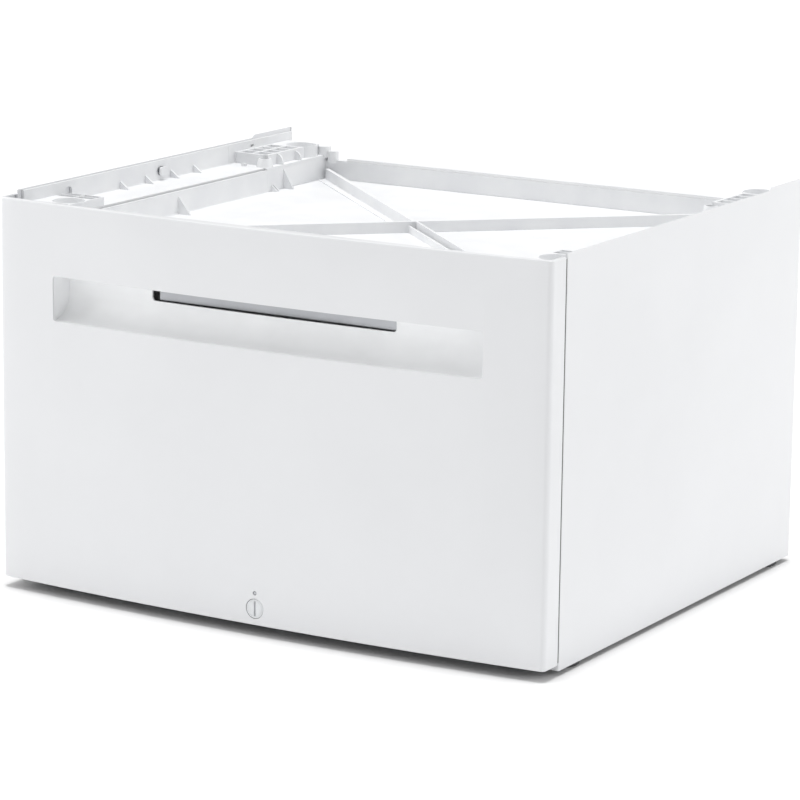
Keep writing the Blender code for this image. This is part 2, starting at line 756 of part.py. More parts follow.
def socket_cut(sign, y, top):
    outline = circle(SOCKET_RADIUS, 24, (sign * SOCKET_X, y))
    return prism(outline, "Z", top - SOCKET_DEPTH, top + CUT_PAST)


def side_screw_place(sign):
    return sign * (MOULDING_OUTER - MOULDING - FIT), SIDE_SCREW_Y, SIDE_TOP - SIDE_SCREW_DROP


def build_shelves():
    inner = TRAY_HALF + MOULDING + SHELF_GROOVE
    wall = MOULDING_OUTER - MOULDING
    low = SHELF_TOP - MOULDING
    end_y = SEAM_Y - FIT
    block_top = SHELF_TOP + FRONT_BLOCK_HEIGHT
    for side, sign in SIDES:
        outline = [
            (inner, low),
            (MOULDING_OUTER, low),
            (MOULDING_OUTER, SIDE_TOP - RIM_DROP),
            (wall, SIDE_TOP - RIM_DROP),
            (wall, SHELF_TOP),
            (inner, SHELF_TOP),
        ]
        shelf = prism(mirrored(outline, sign), "Y", TOP_FRONT_Y, end_y)
        block_end = TOP_FRONT_Y + FRONT_BLOCK_LENGTH
        into_wall = wall + MOULDING / 2
        block = sided_box(sign, inner, into_wall, (TOP_FRONT_Y, low), (block_end, block_top))
        x, y, z = side_screw_place(sign)
        low_corner = (y - SIDE_SLOT_LENGTH / 2, z - SIDE_SLOT_HEIGHT / 2)
        high_corner = (y + SIDE_SLOT_LENGTH / 2, z + SIDE_SLOT_HEIGHT / 2)
        slot = rounded(rectangle(low_corner, high_corner), SIDE_SLOT_HEIGHT / 2 - FIT)
        opening = prism(slot, "X", x - sign * CUT_PAST, sign * (MOULDING_OUTER + CUT_PAST))
        cuts = [socket_cut(sign, FRONT_SOCKET_Y, block_top), opening]
        node(f"top_shelf_{side}", [shelf, block], "white_moulding", cuts)
        screw(f"side_screw_{side}", "X", (x, y, z), MOULDING + FIT, sign)


def build_rear_top():
    base = TRAY_FLOOR_TOP + FIT
    low = SHELF_TOP - MOULDING
    wall = MOULDING_OUTER - MOULDING
    block_top = SHELF_TOP + REAR_BLOCK_HEIGHT
    low_top = TRAY_WALL_TOP - REAR_LEDGE_STEP
    into_side = TRAY_HALF + MOULDING / 2
    wall_back = TRAY_REAR_Y + MOULDING
    ledge = rectangle((TRAY_REAR_Y, low_top - MOULDING), (TOP_REAR_Y, low_top))
    raised = rectangle((TRAY_REAR_Y, low_top - MOULDING / 2), (TOP_REAR_Y, TRAY_WALL_TOP))
    raised_half = TRAY_HALF - REAR_LEDGE_LOW
    solids = [
        box((-into_side, TRAY_REAR_Y, base), (into_side, wall_back, low_top)),
        prism(ledge, "X", -into_side, into_side),
        prism(raised, "X", -raised_half, raised_half),
    ]
    cuts = []
    for _, sign in SIDES:
        outline = [
            (TRAY_HALF, base),
            (TRAY_HALF + MOULDING, base),
            (TRAY_HALF + MOULDING, low),
            (MOULDING_OUTER, low),
            (MOULDING_OUTER, SIDE_TOP - RIM_DROP),
            (wall, SIDE_TOP - RIM_DROP),
            (wall, SHELF_TOP),
            (TRAY_HALF, SHELF_TOP),
        ]
        solids.append(prism(mirrored(outline, sign), "Y", SEAM_Y, TOP_REAR_Y))
        start = (TOP_REAR_Y - REAR_BLOCK_LENGTH, low)
        end = (TOP_REAR_Y - REAR_BLOCK_END_GAP, block_top)
        solids.append(sided_box(sign, TRAY_HALF + FIT, wall + MOULDING / 2, start, end))
        solids.append(gusset(sign, REAR_GUSSET_Y, base))
        cuts.append(socket_cut(sign, REAR_SOCKET_Y, block_top))
    node("top_frame_rear", solids, "white_moulding", cuts)


# ---------------------------------------------------------------- slides
def slide_profile(back, front, half_height, wall):
    """A C across the slide, its web at back and its two lips reaching to front."""
    z = SLIDE_CENTRE_HEIGHT
    path = [(front, z + half_height), (back, z + half_height)]
    path += [(back, z - half_height), (front, z - half_height)]
    if back > front:
        path.reverse()
    return folded(path, wall, radius=wall * 1.2)


def build_slides(drawer_axis, middle_axes):
    half = SLIDE_HEIGHT / 2
    middle_half = half - SLIDE_WALL - SLIDE_BALL_SPACE
    inner_half = middle_half - SLIDE_WALL - SLIDE_BALL_SPACE
    middle_back = SLIDE_BACK - SLIDE_WALL - SLIDE_WEB_SPACE
    inner_front = middle_back - SLIDE_WALL - SLIDE_INNER_SPACE
    shapes = (
        ("outer", SLIDE_BACK, SLIDE_INNER + OUTER_LIP_SHORT, half),
        ("middle", middle_back, SLIDE_INNER + MIDDLE_LIP_SHORT, middle_half),
        ("inner", SLIDE_INNER, inner_front, inner_half),
    )
    outer_end = REAR_SOCKET_Y + POST_LENGTH / 2
    for side, sign in SIDES:
        parents = {"outer": None, "middle": middle_axes[side], "inner": drawer_axis}
        for name, back, front, height in shapes:
            outline = mirrored(slide_profile(back, front, height, SLIDE_WALL), sign)
            end = outer_end if name == "outer" else DRAWER_REAR_Y
            member = prism(outline, "Y", SLIDE_FRONT_Y, end)
            node(f"slide_{name}_{side}", [member], "galvanised_steel", parent=parents[name])


# ---------------------------------------------------------------- drawer
def build_front_skin(drawer_axis):
    skin = prism(front_outline(0.0, RETURN_Y), "Z", FRONT_BOTTOM, FRONT_TOP)
    inside = front_outline(SHEET, RETURN_Y - SHEET)
    hollow = prism(inside, "Z", FRONT_BOTTOM + SHEET, FRONT_TOP - SHEET)
    between_rims = front_outline(FRONT_RIM, RETURN_Y + FRONT_RIM)
    clear = prism(between_rims, "Z", FRONT_BOTTOM - CUT_PAST, FRONT_TOP + CUT_PAST)
    half = HANDLE_WIDTH / 2
    mouth = rounded(rectangle((-half, HANDLE_BOTTOM), (half, HANDLE_TOP)), HANDLE_CORNER)
    ahead = FRONT_Y - CUT_PAST
    handle = prism(mouth, "Y", ahead, bow_y(half) + SHEET + CUT_PAST)
    disc = circle(LOCK_RADIUS + HOLE_CLEARANCE, 24, (0, LOCK_HEIGHT))
    lock = prism(disc, "Y", ahead, FRONT_Y + SHEET + CUT_PAST)
    cuts = [clear, hollow, handle, lock]
    node("drawer_front_skin", [skin], "painted_sheet", cuts, parent=drawer_axis)


def build_inner_front(drawer_axis):
    """A shallow folded box, deeper below its step, that closes the front and carries the drawer."""
    front_y = RETURN_Y - SHEET - FIT - PLATE
    past = front_y - CUT_PAST
    outer = HALF - SHEET - FIT
    room = INNER_HALF - PLATE
    neck_low = INNER_STEP - 2 * PLATE
    solids = [
        box((-INNER_HALF, front_y, INNER_BOTTOM), (INNER_HALF, INNER_BACK_Y, INNER_STEP)),
        box((-INNER_HALF, front_y, neck_low), (INNER_HALF, INNER_NECK_Y, INNER_TOP)),
        box((-outer, front_y, FRONT_BOTTOM + INNER_FLANGE_RISE), (outer, front_y + PLATE, INNER_TOP)),
    ]
    deep_end = (room, INNER_BACK_Y - PLATE, INNER_STEP - PLATE)
    neck_end = (room, INNER_NECK_Y - PLATE, INNER_TOP - PLATE)
    reach = HOOK_HALF_WIDTH + WINDOW_MARGIN
    window_low = INNER_STEP + WINDOW_RISE
    window_start = (-reach, INNER_NECK_Y - PLATE - CUT_PAST, window_low)
    window_end = (reach, INNER_NECK_Y + CUT_PAST, window_low + WINDOW_HEIGHT)
    cuts = [
        box((-room, past, INNER_BOTTOM + PLATE), deep_end),
        box((-room, past, neck_low - PLATE), neck_end),
        box((-room, past, 0.0), (room, front_y + 2 * PLATE, INNER_BOTTOM - FIT)),
        box(window_start, window_end),
    ]
    node("drawer_inner_front", solids, "painted_sheet", cuts, parent=drawer_axis)


def scoop_section():
    """The hollow of the recess: a straight back wall that sweeps forward to the lower edge."""
    steps = 8
    section = []
    for k in range(steps + 1):
        turn = math.pi / 2 * k / steps
        depth = HANDLE_DEPTH * math.sin(turn)
        section.append((depth, SLOT_BOTTOM - SCOOP_HEIGHT * math.cos(turn)))
    section.append((HANDLE_DEPTH, HANDLE_TOP))
    section.append((0.0, HANDLE_TOP))
    ahead = [(-CUT_PAST, HANDLE_TOP), (-CUT_PAST, HANDLE_BOTTOM)]
    return section + ahead


def pivot_place():
    """The release bar's pivot, and the front face of the bar."""
    face = bow_y(BAR_LENGTH / 2) + HANDLE_DEPTH + HANDLE_WALL + BAR_CLEARANCE
    return face + PIVOT_SETBACK, HANDLE_TOP + PIVOT_RISE, face


def build_handle(drawer_axis):
    half = HANDLE_WIDTH / 2
    start = SHEET + FIT
    back = HANDLE_DEPTH + HANDLE_WALL
    low = HANDLE_BOTTOM - HANDLE_WALL
    high = HANDLE_TOP + HANDLE_WALL
    body = [
        (start, low),
        (back * SCOOP_SWELL, low),
        (back, SLOT_BOTTOM - SCOOP_HEIGHT * SCOOP_RISE),
        (back, high),
        (start, high),
    ]
    lip = rectangle((start, low - HANDLE_FLANGE), (start + HANDLE_WALL, high + HANDLE_FLANGE))
    pivot_y, pivot_z, _ = pivot_place()
    solids = [bowed(body, half + HANDLE_WALL), bowed(lip, half + HANDLE_WALL + HANDLE_FLANGE)]

    slot_half = SLOT_WIDTH / 2
    slot_corners = [SLOT_CORNER, SLOT_CORNER, 0.0, 0.0]
    slot = rounded(rectangle((-slot_half, SLOT_BOTTOM), (slot_half, HANDLE_TOP)), slot_corners)
    wall_front = FRONT_Y + HANDLE_DEPTH - CUT_PAST
    wall_back = bow_y(slot_half) + back + CUT_PAST
    cuts = [bowed(scoop_section(), half), prism(slot, "Y", wall_front, wall_back)]

    ear_x = BAR_LENGTH / 2 + EAR_MARGIN
    ear_low = (bow_y(ear_x) + HANDLE_DEPTH + HANDLE_WALL / 2, pivot_z - EAR_HALF_HEIGHT)
    ear_high = (pivot_y + EAR_BEHIND_PIVOT, pivot_z + EAR_HALF_HEIGHT)
    ear = rounded(rectangle(ear_low, ear_high), [0.0, EAR_CORNER, EAR_CORNER, 0.0])
    hole = circle(ROD_RADIUS + HOLE_CLEARANCE, 16, (pivot_y, pivot_z))
    for _, sign in SIDES:
        near, far = sorted((sign * ear_x, sign * (ear_x + EAR_THICKNESS)))
        solids.append(prism(ear, "X", near, far))
        cuts.append(prism(hole, "X", near - CUT_PAST, far + CUT_PAST))
    node("handle_recess", solids, "white_moulding", cuts, parent=drawer_axis)


def hook_heights():
    """The underside of the release hook's arm, and the top of the strike's lip below its hook."""
    arm_low = HANDLE_TOP + PIVOT_RISE - HOOK_ARM_DROP
    return arm_low, arm_low - HOOK_DROP - HOOK_CLEARANCE


def build_release_bar(release_axis):
    pivot_y, pivot_z, face = pivot_place()
    back = face + BAR_THICKNESS
    half = BAR_LENGTH / 2
    low = SLOT_BOTTOM + BAR_CLEARANCE
    blade = [
        (face, low),
        (back, low),
        (back, pivot_z - BLADE_THROAT),
        (pivot_y, pivot_z - BLADE_NECK),
        (pivot_y, pivot_z + BLADE_NECK),
        (face, pivot_z - BLADE_NECK / 2),
    ]
    knuckle = prism(circle(KNUCKLE_RADIUS, 16, (pivot_y, pivot_z)), "X", -half, half)
    hook_y = hook_places()[1]
    arm_low = hook_heights()[0]
    arm_start = pivot_y + KNUCKLE_RADIUS - HOOK_ARM_DROP
    arm = [
        (arm_start, arm_low),
        (hook_y, arm_low),
        (hook_y, arm_low - HOOK_DROP),
        (hook_y + HOOK_THICKNESS, arm_low - HOOK_DROP),
        (hook_y + HOOK_THICKNESS, arm_low + HOOK_ARM_HEIGHT),
        (arm_start, arm_low + HOOK_ARM_HEIGHT),
    ]
    hook = prism(arm, "X", -HOOK_HALF_WIDTH, HOOK_HALF_WIDTH)
    hole = circle(ROD_RADIUS + HOLE_CLEARANCE, 16, (pivot_y, pivot_z))
    bore = prism(hole, "X", -half - CUT_PAST, half + CUT_PAST)
    solids = [prism(blade, "X", -half, half), knuckle, hook]
    node("release_bar", solids, "grey_moulding", [bore], parent=release_axis)


def build_release_rod(drawer_axis):
    pivot_y, pivot_z, _ = pivot_place()
    half = BAR_LENGTH / 2 + EAR_MARGIN + EAR_THICKNESS + ROD_END
    rod = [(0, -half), (ROD_RADIUS, -half), (ROD_RADIUS, half), (0, half)]
    solid = turned(rod, "X", (0, pivot_y, pivot_z), 12)
    node("release_rod", [solid], "spring_steel", parent=drawer_axis, smooth=True)


def build_release_springs(drawer_axis):
    """A coil on the rod at each end of the bar, between the bar and its ear."""
    pivot_y, pivot_z, _ = pivot_place()
    radius = ROD_RADIUS + SPRING_WIRE + FIT + HOLE_CLEARANCE / 2
    length = EAR_MARGIN - 2 * (SPRING_WIRE + FIT)
    count = SPRING_TURNS * SPRING_STEPS
    for side, sign in SIDES:
        points = []
        for k in range(count + 1):
            turn = 2 * math.pi * k / SPRING_STEPS
            x = sign * (BAR_LENGTH / 2 + FIT + SPRING_WIRE + length * k / count)
            y = pivot_y + radius * math.cos(turn)
            points.append((x, y, pivot_z + radius * math.sin(turn)))
        wire(f"release_spring_{side}", points, SPRING_WIRE, "spring_steel", drawer_axis)


def build_strike():
    lip_y, _, bar_y = hook_places()
    top = hook_heights()[1]
    bottom = top - STRIKE_DEPTH
    plate_y = bar_y - FIT
    path = [(lip_y, top), (lip_y, bottom), (plate_y, bottom), (plate_y, top + STRIKE_RISE)]
    outline = folded(path, RAIL, radius=STRIKE_BEND)
    strike = prism(outline, "X", -STRIKE_HALF_WIDTH, STRIKE_HALF_WIDTH)
    node("latch_strike", [strike], "galvanised_steel")


def build_stiffener(drawer_axis):
    front = CORNER_Y + STIFFENER_FRONT_GAP
    back = RETURN_Y - STIFFENER_BACK_GAP
    low = HANDLE_TOP + STIFFENER_ABOVE_HANDLE
    high = FRONT_TOP - STIFFENER_TOP_GAP
    outline = folded([(back, high), (front, high), (front, low), (back, low)], PLATE)
    half = INNER_HALF - STIFFENER_END_GAP
    bar = prism(outline, "X", -half, half)
    node("front_stiffener", [bar], "galvanised_steel", parent=drawer_axis)


def build_drawer_box(drawer_axis):
    wall_path = [
        (DRAWER_OUTER - DRAWER_BOTTOM_FLANGE, DRAWER_BOTTOM),
        (DRAWER_OUTER, DRAWER_BOTTOM),
        (DRAWER_OUTER, DRAWER_TOP),
        (DRAWER_OUTER - DRAWER_TOP_FLANGE, DRAWER_TOP),
    ]
    wall = folded(wall_path, PLATE)
    for side, sign in SIDES:
        solid = prism(mirrored(wall, sign), "Y", DRAWER_FRONT_Y, DRAWER_REAR_Y)
        node(f"drawer_side_{side}", [solid], "painted_sheet", parent=drawer_axis)
    room = DRAWER_OUTER - PLATE - FIT
    back_y = DRAWER_REAR_Y - FIT
    base = DRAWER_BOTTOM + PLATE + FIT
    back_path = [
        (back_y - DRAWER_BACK_FLANGE, DRAWER_TOP - DRAWER_BACK_DROP),
        (back_y, DRAWER_TOP - DRAWER_BACK_DROP),
        (back_y, base),
    ]
    back = prism(folded(back_path[::-1], PLATE), "X", -room, room)
    node("drawer_back", [back], "painted_sheet", parent=drawer_axis)
    floor = box((-room, DRAWER_FRONT_Y, base), (room, back_y - PLATE - FIT, base + PLATE))
    node("drawer_floor", [floor], "painted_sheet", parent=drawer_axis)


# ---------------------------------------------------------------- lock
def build_barrel(lock_axis):
    centre = (0.0, 0.0, LOCK_HEIGHT)
    profile = [
        (0, LOCK_FACE_Y),
        (LOCK_RADIUS, LOCK_FACE_Y),
        (LOCK_RADIUS, LOCK_END_Y),
        (CAM_BOSS_RADIUS, LOCK_END_Y),
        (CAM_BOSS_RADIUS, LOCK_END_Y + LOCK_BOSS_LENGTH),
        (0, LOCK_END_Y + LOCK_BOSS_LENGTH),
    ]
    barrel = turned(profile, "Y", centre, 32)
    half = COIN_SLOT_LENGTH / 2
    slot = box(
        (-COIN_SLOT_WIDTH / 2, LOCK_FACE_Y - CUT_PAST, LOCK_HEIGHT - half),
        (COIN_SLOT_WIDTH / 2, LOCK_FACE_Y + COIN_SLOT_DEPTH, LOCK_HEIGHT + half),
    )
    node("lock_barrel", [barrel], "lock_zinc", [slot], parent=lock_axis)


def build_housing(drawer_axis):
    centre = (0.0, 0.0, LOCK_HEIGHT)
    flange_y = FRONT_Y + SHEET + FIT
    bore = LOCK_RADIUS + HOLE_CLEARANCE
    tube = LOCK_RADIUS + HOUSING_WALL
    profile = [
        (bore, flange_y),
        (LOCK_RADIUS + LOCK_FLANGE, flange_y),
        (LOCK_RADIUS + LOCK_FLANGE, flange_y + LOCK_FLANGE_THICKNESS),
        (tube, flange_y + LOCK_FLANGE_THICKNESS),
        (tube, LOCK_END_Y - HOUSING_SHORT),
        (bore, LOCK_END_Y - HOUSING_SHORT),
        (bore, flange_y),
    ]
    node("lock_housing", [turned(profile, "Y", centre, 32)], "dark_plastic", parent=drawer_axis)


def build_cam(lock_axis):
    """The cam hangs down when the drawer is unlocked and swings towards -X to lock it."""
    width = CAM_WIDTH / 2
    low = (-width, LOCK_HEIGHT - CAM_LENGTH)
    high = (width, LOCK_HEIGHT + CAM_HEAD)
    corners = [CAM_TIP_CORNER, CAM_TIP_CORNER, CAM_HEAD_CORNER, CAM_HEAD_CORNER]
    cam = prism(rounded(rectangle(low, high), corners), "Y", CAM_Y, CAM_Y + CAM_THICKNESS)
    bore = circle(CAM_BOSS_RADIUS + FIT, 24, (0, LOCK_HEIGHT))
    hole = prism(bore, "Y", CAM_Y - CUT_PAST, CAM_Y + CAM_THICKNESS + CUT_PAST)
    node("lock_cam", [cam], "galvanised_steel", [hole], parent=lock_axis)


def build_keeper():
    """The bracket on the front base rail that the cam swings to."""
    reach = CAM_LENGTH + KEEPER_CLEARANCE
    rail_face = FRONT_RAIL_Y - FIT
    path = [(-reach, CAM_Y - KEEPER_AHEAD), (-reach, rail_face), (-reach - KEEPER_FOOT, rail_face)]
    plan = folded(path, RAIL, radius=KEEPER_BEND)
    low = BASE_BOTTOM + KEEPER_ABOVE_BASE
    keeper = prism(plan, "Z", low, LOCK_HEIGHT + KEEPER_ABOVE_LOCK)
    node("lock_keeper", [keeper], "galvanised_steel")


def build_bumpers():
    x = HALF - SIDE_FLANGE + BUMPER_RADIUS + BUMPER_FROM_FLANGE
    back = SIDE_FRONT_Y - FIT
    front = RETURN_Y - SHEET
    profile = [
        (0, front),
        (BUMPER_RADIUS - BUMPER_CHAMFER, front),
        (BUMPER_RADIUS, front + BUMPER_CHAMFER),
        (BUMPER_RADIUS, back),
        (0, back),
    ]
    heights = (
        ("lower", INNER_BOTTOM + BUMPER_ABOVE_BOTTOM),
        ("upper", HANDLE_BOTTOM + BUMPER_ABOVE_HANDLE),
    )
    for side, sign in SIDES:
        for level, height in heights:
            where = (sign * x, back, height)
            pad = turned(profile, "Y", (sign * x, 0.0, height), 16)
            node(f"bumper_{side}_{level}", [pad], "rubber", origin=where, smooth=True)


# ---------------------------------------------------------------- whole pedestal
def main():
    clear_scene()
    build_side_panels()
    build_rear_panel()
    build_base()
    build_posts()
    build_cross_bars()
    build_feet()
    build_tray()
    build_shelves()
    build_rear_top()

    drawer_axis = make_axis("drawer_axis", (0, INNER_BACK_Y, SLIDE_CENTRE_HEIGHT))
    middle_axes = {}
    for side, sign in SIDES:
        place = (sign * SLIDE_BACK, SLIDE_FRONT_Y, SLIDE_CENTRE_HEIGHT)
        middle_axes[side] = make_axis(f"middle_axis_{side}", place)
    pivot_y, pivot_z, _ = pivot_place()
    release_axis = make_axis("release_axis", (0, pivot_y, pivot_z))
    lock_axis = make_axis("lock_axis", (0, FRONT_Y, LOCK_HEIGHT))
    build_slides(drawer_axis, middle_axes)
    build_front_skin(drawer_axis)
    build_inner_front(drawer_axis)
    build_handle(drawer_axis)
    build_release_bar(release_axis)
    build_release_rod(drawer_axis)
    build_release_springs(drawer_axis)
    build_strike()
    build_stiffener(drawer_axis)
    build_drawer_box(drawer_axis)
    build_barrel(lock_axis)
    build_housing(drawer_axis)
    build_cam(lock_axis)
    build_keeper()
    build_bumpers()


main()
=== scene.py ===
# %% [markdown]
# # A white steel pedestal with a drawer
#
# A front-loading washing machine stands on this plinth. The frame, the slides and every moving
# joint come from the CAD model. This notebook gives each piece the surface it has on the real
# object: folded and painted sheet steel outside, ribbed polypropylene mouldings on top, zinc-coated
# steel inside. Work from the outside in, and look at a render after each part.

# %% Load the frame
import json
import math

import bmesh
import bpy
from mathutils import Matrix, Vector

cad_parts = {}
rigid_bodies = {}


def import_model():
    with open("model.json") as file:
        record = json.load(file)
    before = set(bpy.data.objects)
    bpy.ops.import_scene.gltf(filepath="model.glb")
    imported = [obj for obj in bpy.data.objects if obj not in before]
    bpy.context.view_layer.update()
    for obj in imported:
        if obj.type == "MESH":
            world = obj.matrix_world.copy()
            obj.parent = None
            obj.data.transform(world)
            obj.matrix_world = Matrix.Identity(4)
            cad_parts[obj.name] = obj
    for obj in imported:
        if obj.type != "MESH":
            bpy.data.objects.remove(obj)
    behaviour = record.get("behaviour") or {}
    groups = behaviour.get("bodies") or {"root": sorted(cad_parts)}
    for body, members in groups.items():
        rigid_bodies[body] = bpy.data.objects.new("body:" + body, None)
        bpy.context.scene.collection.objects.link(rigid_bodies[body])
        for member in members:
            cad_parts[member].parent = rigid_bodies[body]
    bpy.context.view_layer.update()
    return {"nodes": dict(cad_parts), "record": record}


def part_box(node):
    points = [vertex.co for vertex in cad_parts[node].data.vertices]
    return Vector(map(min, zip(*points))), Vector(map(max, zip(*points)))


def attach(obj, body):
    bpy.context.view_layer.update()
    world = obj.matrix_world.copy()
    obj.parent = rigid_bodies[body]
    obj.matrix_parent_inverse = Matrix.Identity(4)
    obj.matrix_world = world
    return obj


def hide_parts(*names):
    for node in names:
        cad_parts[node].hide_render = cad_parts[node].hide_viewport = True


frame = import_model()
record = frame["record"]
MM = 0.001

# %% [markdown]
# ## Camera and light
#
# A long lens from a distance keeps the pedestal's upright edges nearly parallel. Product pictures of
# white goods are lit from all around, so that the floor burns out to white and the steel stays just
# below it. A soft sun straight above stands for a lit ceiling and whitens the floor. Two softboxes
# stand far out to the left and the right, so the corner between the front and the side gets least
# light and reads as a grey line, and neither is mirrored in the front.

# %% Camera
CAMERA_PLACE = (1.810, -3.052, 0.963)
CAMERA_TURN = math.radians(30.703)
CAMERA_TILT = math.radians(12.496)
CAMERA_ROLL = math.radians(0.729)
CAMERA_LENS = 166.8
SENSOR_WIDTH = 36.0

camera_data = bpy.data.cameras.new("camera")
camera_data.lens = CAMERA_LENS
camera_data.sensor_width = SENSOR_WIDTH
camera = bpy.data.objects.new("camera", camera_data)
turn = Matrix.Rotation(CAMERA_TURN, 4, "Z")
tilt = Matrix.Rotation(math.pi / 2 - CAMERA_TILT, 4, "X")
roll = Matrix.Rotation(CAMERA_ROLL, 4, "Z")
camera.matrix_world = Matrix.Translation(CAMERA_PLACE) @ turn @ tilt @ roll
bpy.context.scene.collection.objects.link(camera)
bpy.context.scene.camera = camera
print("camera at", CAMERA_PLACE, "with a lens of", CAMERA_LENS, "mm")

# %% Light
SOFTBOX_SIZE = (3.4, 3.0)
SOFTBOX_TARGET = (0.0, 0.0, 0.2)
LEFT_PLACE, LEFT_WATTS = (-6.3, -2.7, 2.4), 152.0
RIGHT_PLACE, RIGHT_WATTS = (5.6, 2.9, 2.2), 84.0
CEILING_STRENGTH = 2.15
CEILING_ANGLE = math.radians(18)
ROOM_STRENGTH = 0.5


def softbox(name, place, watts):
    """A rectangular light at place, turned towards the pedestal."""
    data = bpy.data.lights.new(name, "AREA")
    data.shape = "RECTANGLE"
    data.size, data.size_y = SOFTBOX_SIZE
    data.energy = watts
    light = bpy.data.objects.new(name, data)
    light.location = place
    aim = Vector(SOFTBOX_TARGET) - Vector(place)
    light.rotation_euler = aim.to_track_quat("-Z", "Y").to_euler()
    bpy.context.scene.collection.objects.link(light)


softbox("left", LEFT_PLACE, LEFT_WATTS)
softbox("right", RIGHT_PLACE, RIGHT_WATTS)

ceiling_data = bpy.data.lights.new("ceiling", "SUN")
ceiling_data.energy = CEILING_STRENGTH
ceiling_data.angle = CEILING_ANGLE
ceiling = bpy.data.objects.new("ceiling", ceiling_data)
bpy.context.scene.collection.objects.link(ceiling)

world = bpy.data.worlds.new("studio")
world.use_nodes = True
background = world.node_tree.nodes["Background"]
background.inputs["Color"].default_value = (1.0, 1.0, 1.0, 1.0)
background.inputs["Strength"].default_value = ROOM_STRENGTH
bpy.context.scene.world = world
bpy.context.scene.view_settings.view_transform = "Standard"
print("two softboxes, a ceiling and a white room")

# %% [markdown]
# ## Small tools
#
# Colours are written as they look on a screen, so one function turns them into the linear light
# that a shader works in. One more adds a node, its settings and its links. Every finish then gets
# a slow drift of colour and a fine relief, because no coated or moulded surface is quite even.

# %% Colours and nodes
def colour(hex_code):
    channels = [int(hex_code[i : i + 2], 16) / 255 for i in (0, 2, 4)]
    return [c / 12.92 if c <= 0.04045 else ((c + 0.055) / 1.055) ** 2.4 for c in channels] + [1.0]


def add(material, kind, inputs, **settings):
    """Adds a node. An input is a value, or the output socket of another node."""
    node = material.node_tree.nodes.new(kind)
    for name, value in settings.items():
        setattr(node, name, value)
    for name, value in inputs.items():
        if isinstance(value, bpy.types.NodeSocket):
            material.node_tree.links.new(value, node.inputs[name])
        else:
            node.inputs[name].default_value = value
    return node


def new_material(name, hex_code, roughness, metallic=0.0):
    material = bpy.data.materials.new(name)
    material.use_nodes = True
    shader = material.node_tree.nodes["Principled BSDF"]
    shader.inputs["Base Color"].default_value = colour(hex_code)
    shader.inputs["Roughness"].default_value = roughness
    shader.inputs["Metallic"].default_value = metallic
    return material, shader


def grain(material, shader, size, depth):
    """A fine relief on Object coordinates: size is the width of a grain, depth how deep it is."""
    where = add(material, "ShaderNodeTexCoord", {})
    noise_inputs = {"Vector": where.outputs["Object"], "Scale": 1 / size, "Detail": 2.0}
    noise = add(material, "ShaderNodeTexNoise", noise_inputs)
    height = noise.outputs["Fac"]
    bump = add(material, "ShaderNodeBump", {"Height": height, "Distance": depth, "Strength": 1.0})
    material.node_tree.links.new(bump.outputs["Normal"], shader.inputs["Normal"])


def mottle(material, shader, dark, light, size):
    """A slow drift between two close colours. size is the width of a patch."""
    where = add(material, "ShaderNodeTexCoord", {})
    noise_inputs = {"Vector": where.outputs["Object"], "Scale": 1 / size, "Detail": 3.0}
    noise = add(material, "ShaderNodeTexNoise", noise_inputs)
    ramp = add(material, "ShaderNodeValToRGB", {"Fac": noise.outputs["Fac"]})
    ramp.color_ramp.elements[0].position = 0.35
    ramp.color_ramp.elements[0].color = colour(dark)
    ramp.color_ramp.elements[1].position = 0.65
    ramp.color_ramp.elements[1].color = colour(light)
    material.node_tree.links.new(ramp.outputs["Color"], shader.inputs["Base Color"])


finishes = {}

# %% [markdown]
# ## Finishes
#
# ### Powder-coated steel
# White polyester powder, baked on cold-rolled sheet. It flows out to a smooth film with a slight
# orange peel, so highlights are broad with a soft edge. The real peel is about 1 mm wide, too fine
# to show from here, so it is drawn at 2.5 mm.

# %% Powder-coated steel
coating, shader = new_material("powder_coated_steel", "E3E4E6", 0.3)
mottle(coating, shader, "E2E3E5", "E4E5E7", 120 * MM)
grain(coating, shader, 2.5 * MM, 0.012 * MM)
shader.inputs["Coat Weight"].default_value = 0.25
shader.inputs["Coat Roughness"].default_value = 0.12
finishes["painted_sheet"] = coating
print(coating.name)

# %% [markdown]
# ### Moulded polypropylene
# White polypropylene with talc filler, straight from the mould. It is less white than the steel,
# a little translucent at thin edges, and has a satin grain of spark-eroded tooling.

# %% Moulded polypropylene
polypropylene, shader = new_material("moulded_polypropylene", "EBECED", 0.48)
mottle(polypropylene, shader, "E8E9EB", "EDEEEF", 35 * MM)
grain(polypropylene, shader, 1.2 * MM, 0.02 * MM)
shader.inputs["IOR"].default_value = 1.49
finishes["white_moulding"] = polypropylene
print(polypropylene.name)

# %% [markdown]
# ### Recess moulding with painted light
# The finger recess wears a white moulding a little smoother than the polypropylene and painted
# brighter than it. This is painted light: the extra brightness stands in for the light that doesn't
# reach into the recess, so that the recess matches the painted sheet round it.

# %% Recess moulding with painted light
recess_painted_light_moulding, shader = new_material("recess_moulding_with_painted_light", "F3F4F5", 0.4)
mottle(recess_painted_light_moulding, shader, "F1F2F3", "F5F6F7", 40 * MM)
grain(recess_painted_light_moulding, shader, 1.5 * MM, 0.012 * MM)
print(recess_painted_light_moulding.name)

# %% [markdown]
# ### Moulded grey ABS
# The release bar is a light grey ABS moulding. It is harder and a little glossier than the
# polypropylene round it.

# %% Moulded grey ABS
grey_abs, shader = new_material("moulded_grey_abs", "BEC0C4", 0.4)
mottle(grey_abs, shader, "BBBDC1", "C1C3C7", 40 * MM)
grain(grey_abs, shader, 1.5 * MM, 0.015 * MM)
finishes["grey_moulding"] = grey_abs
print(grey_abs.name)

# %% [markdown]
# ### Zinc-coated steel
# Hot-dip galvanised sheet: zinc crystals freeze into flat patches of slightly different brightness
# and gloss. Voronoi cells give the patches, and one random value per cell sets its grey and another
# its roughness.

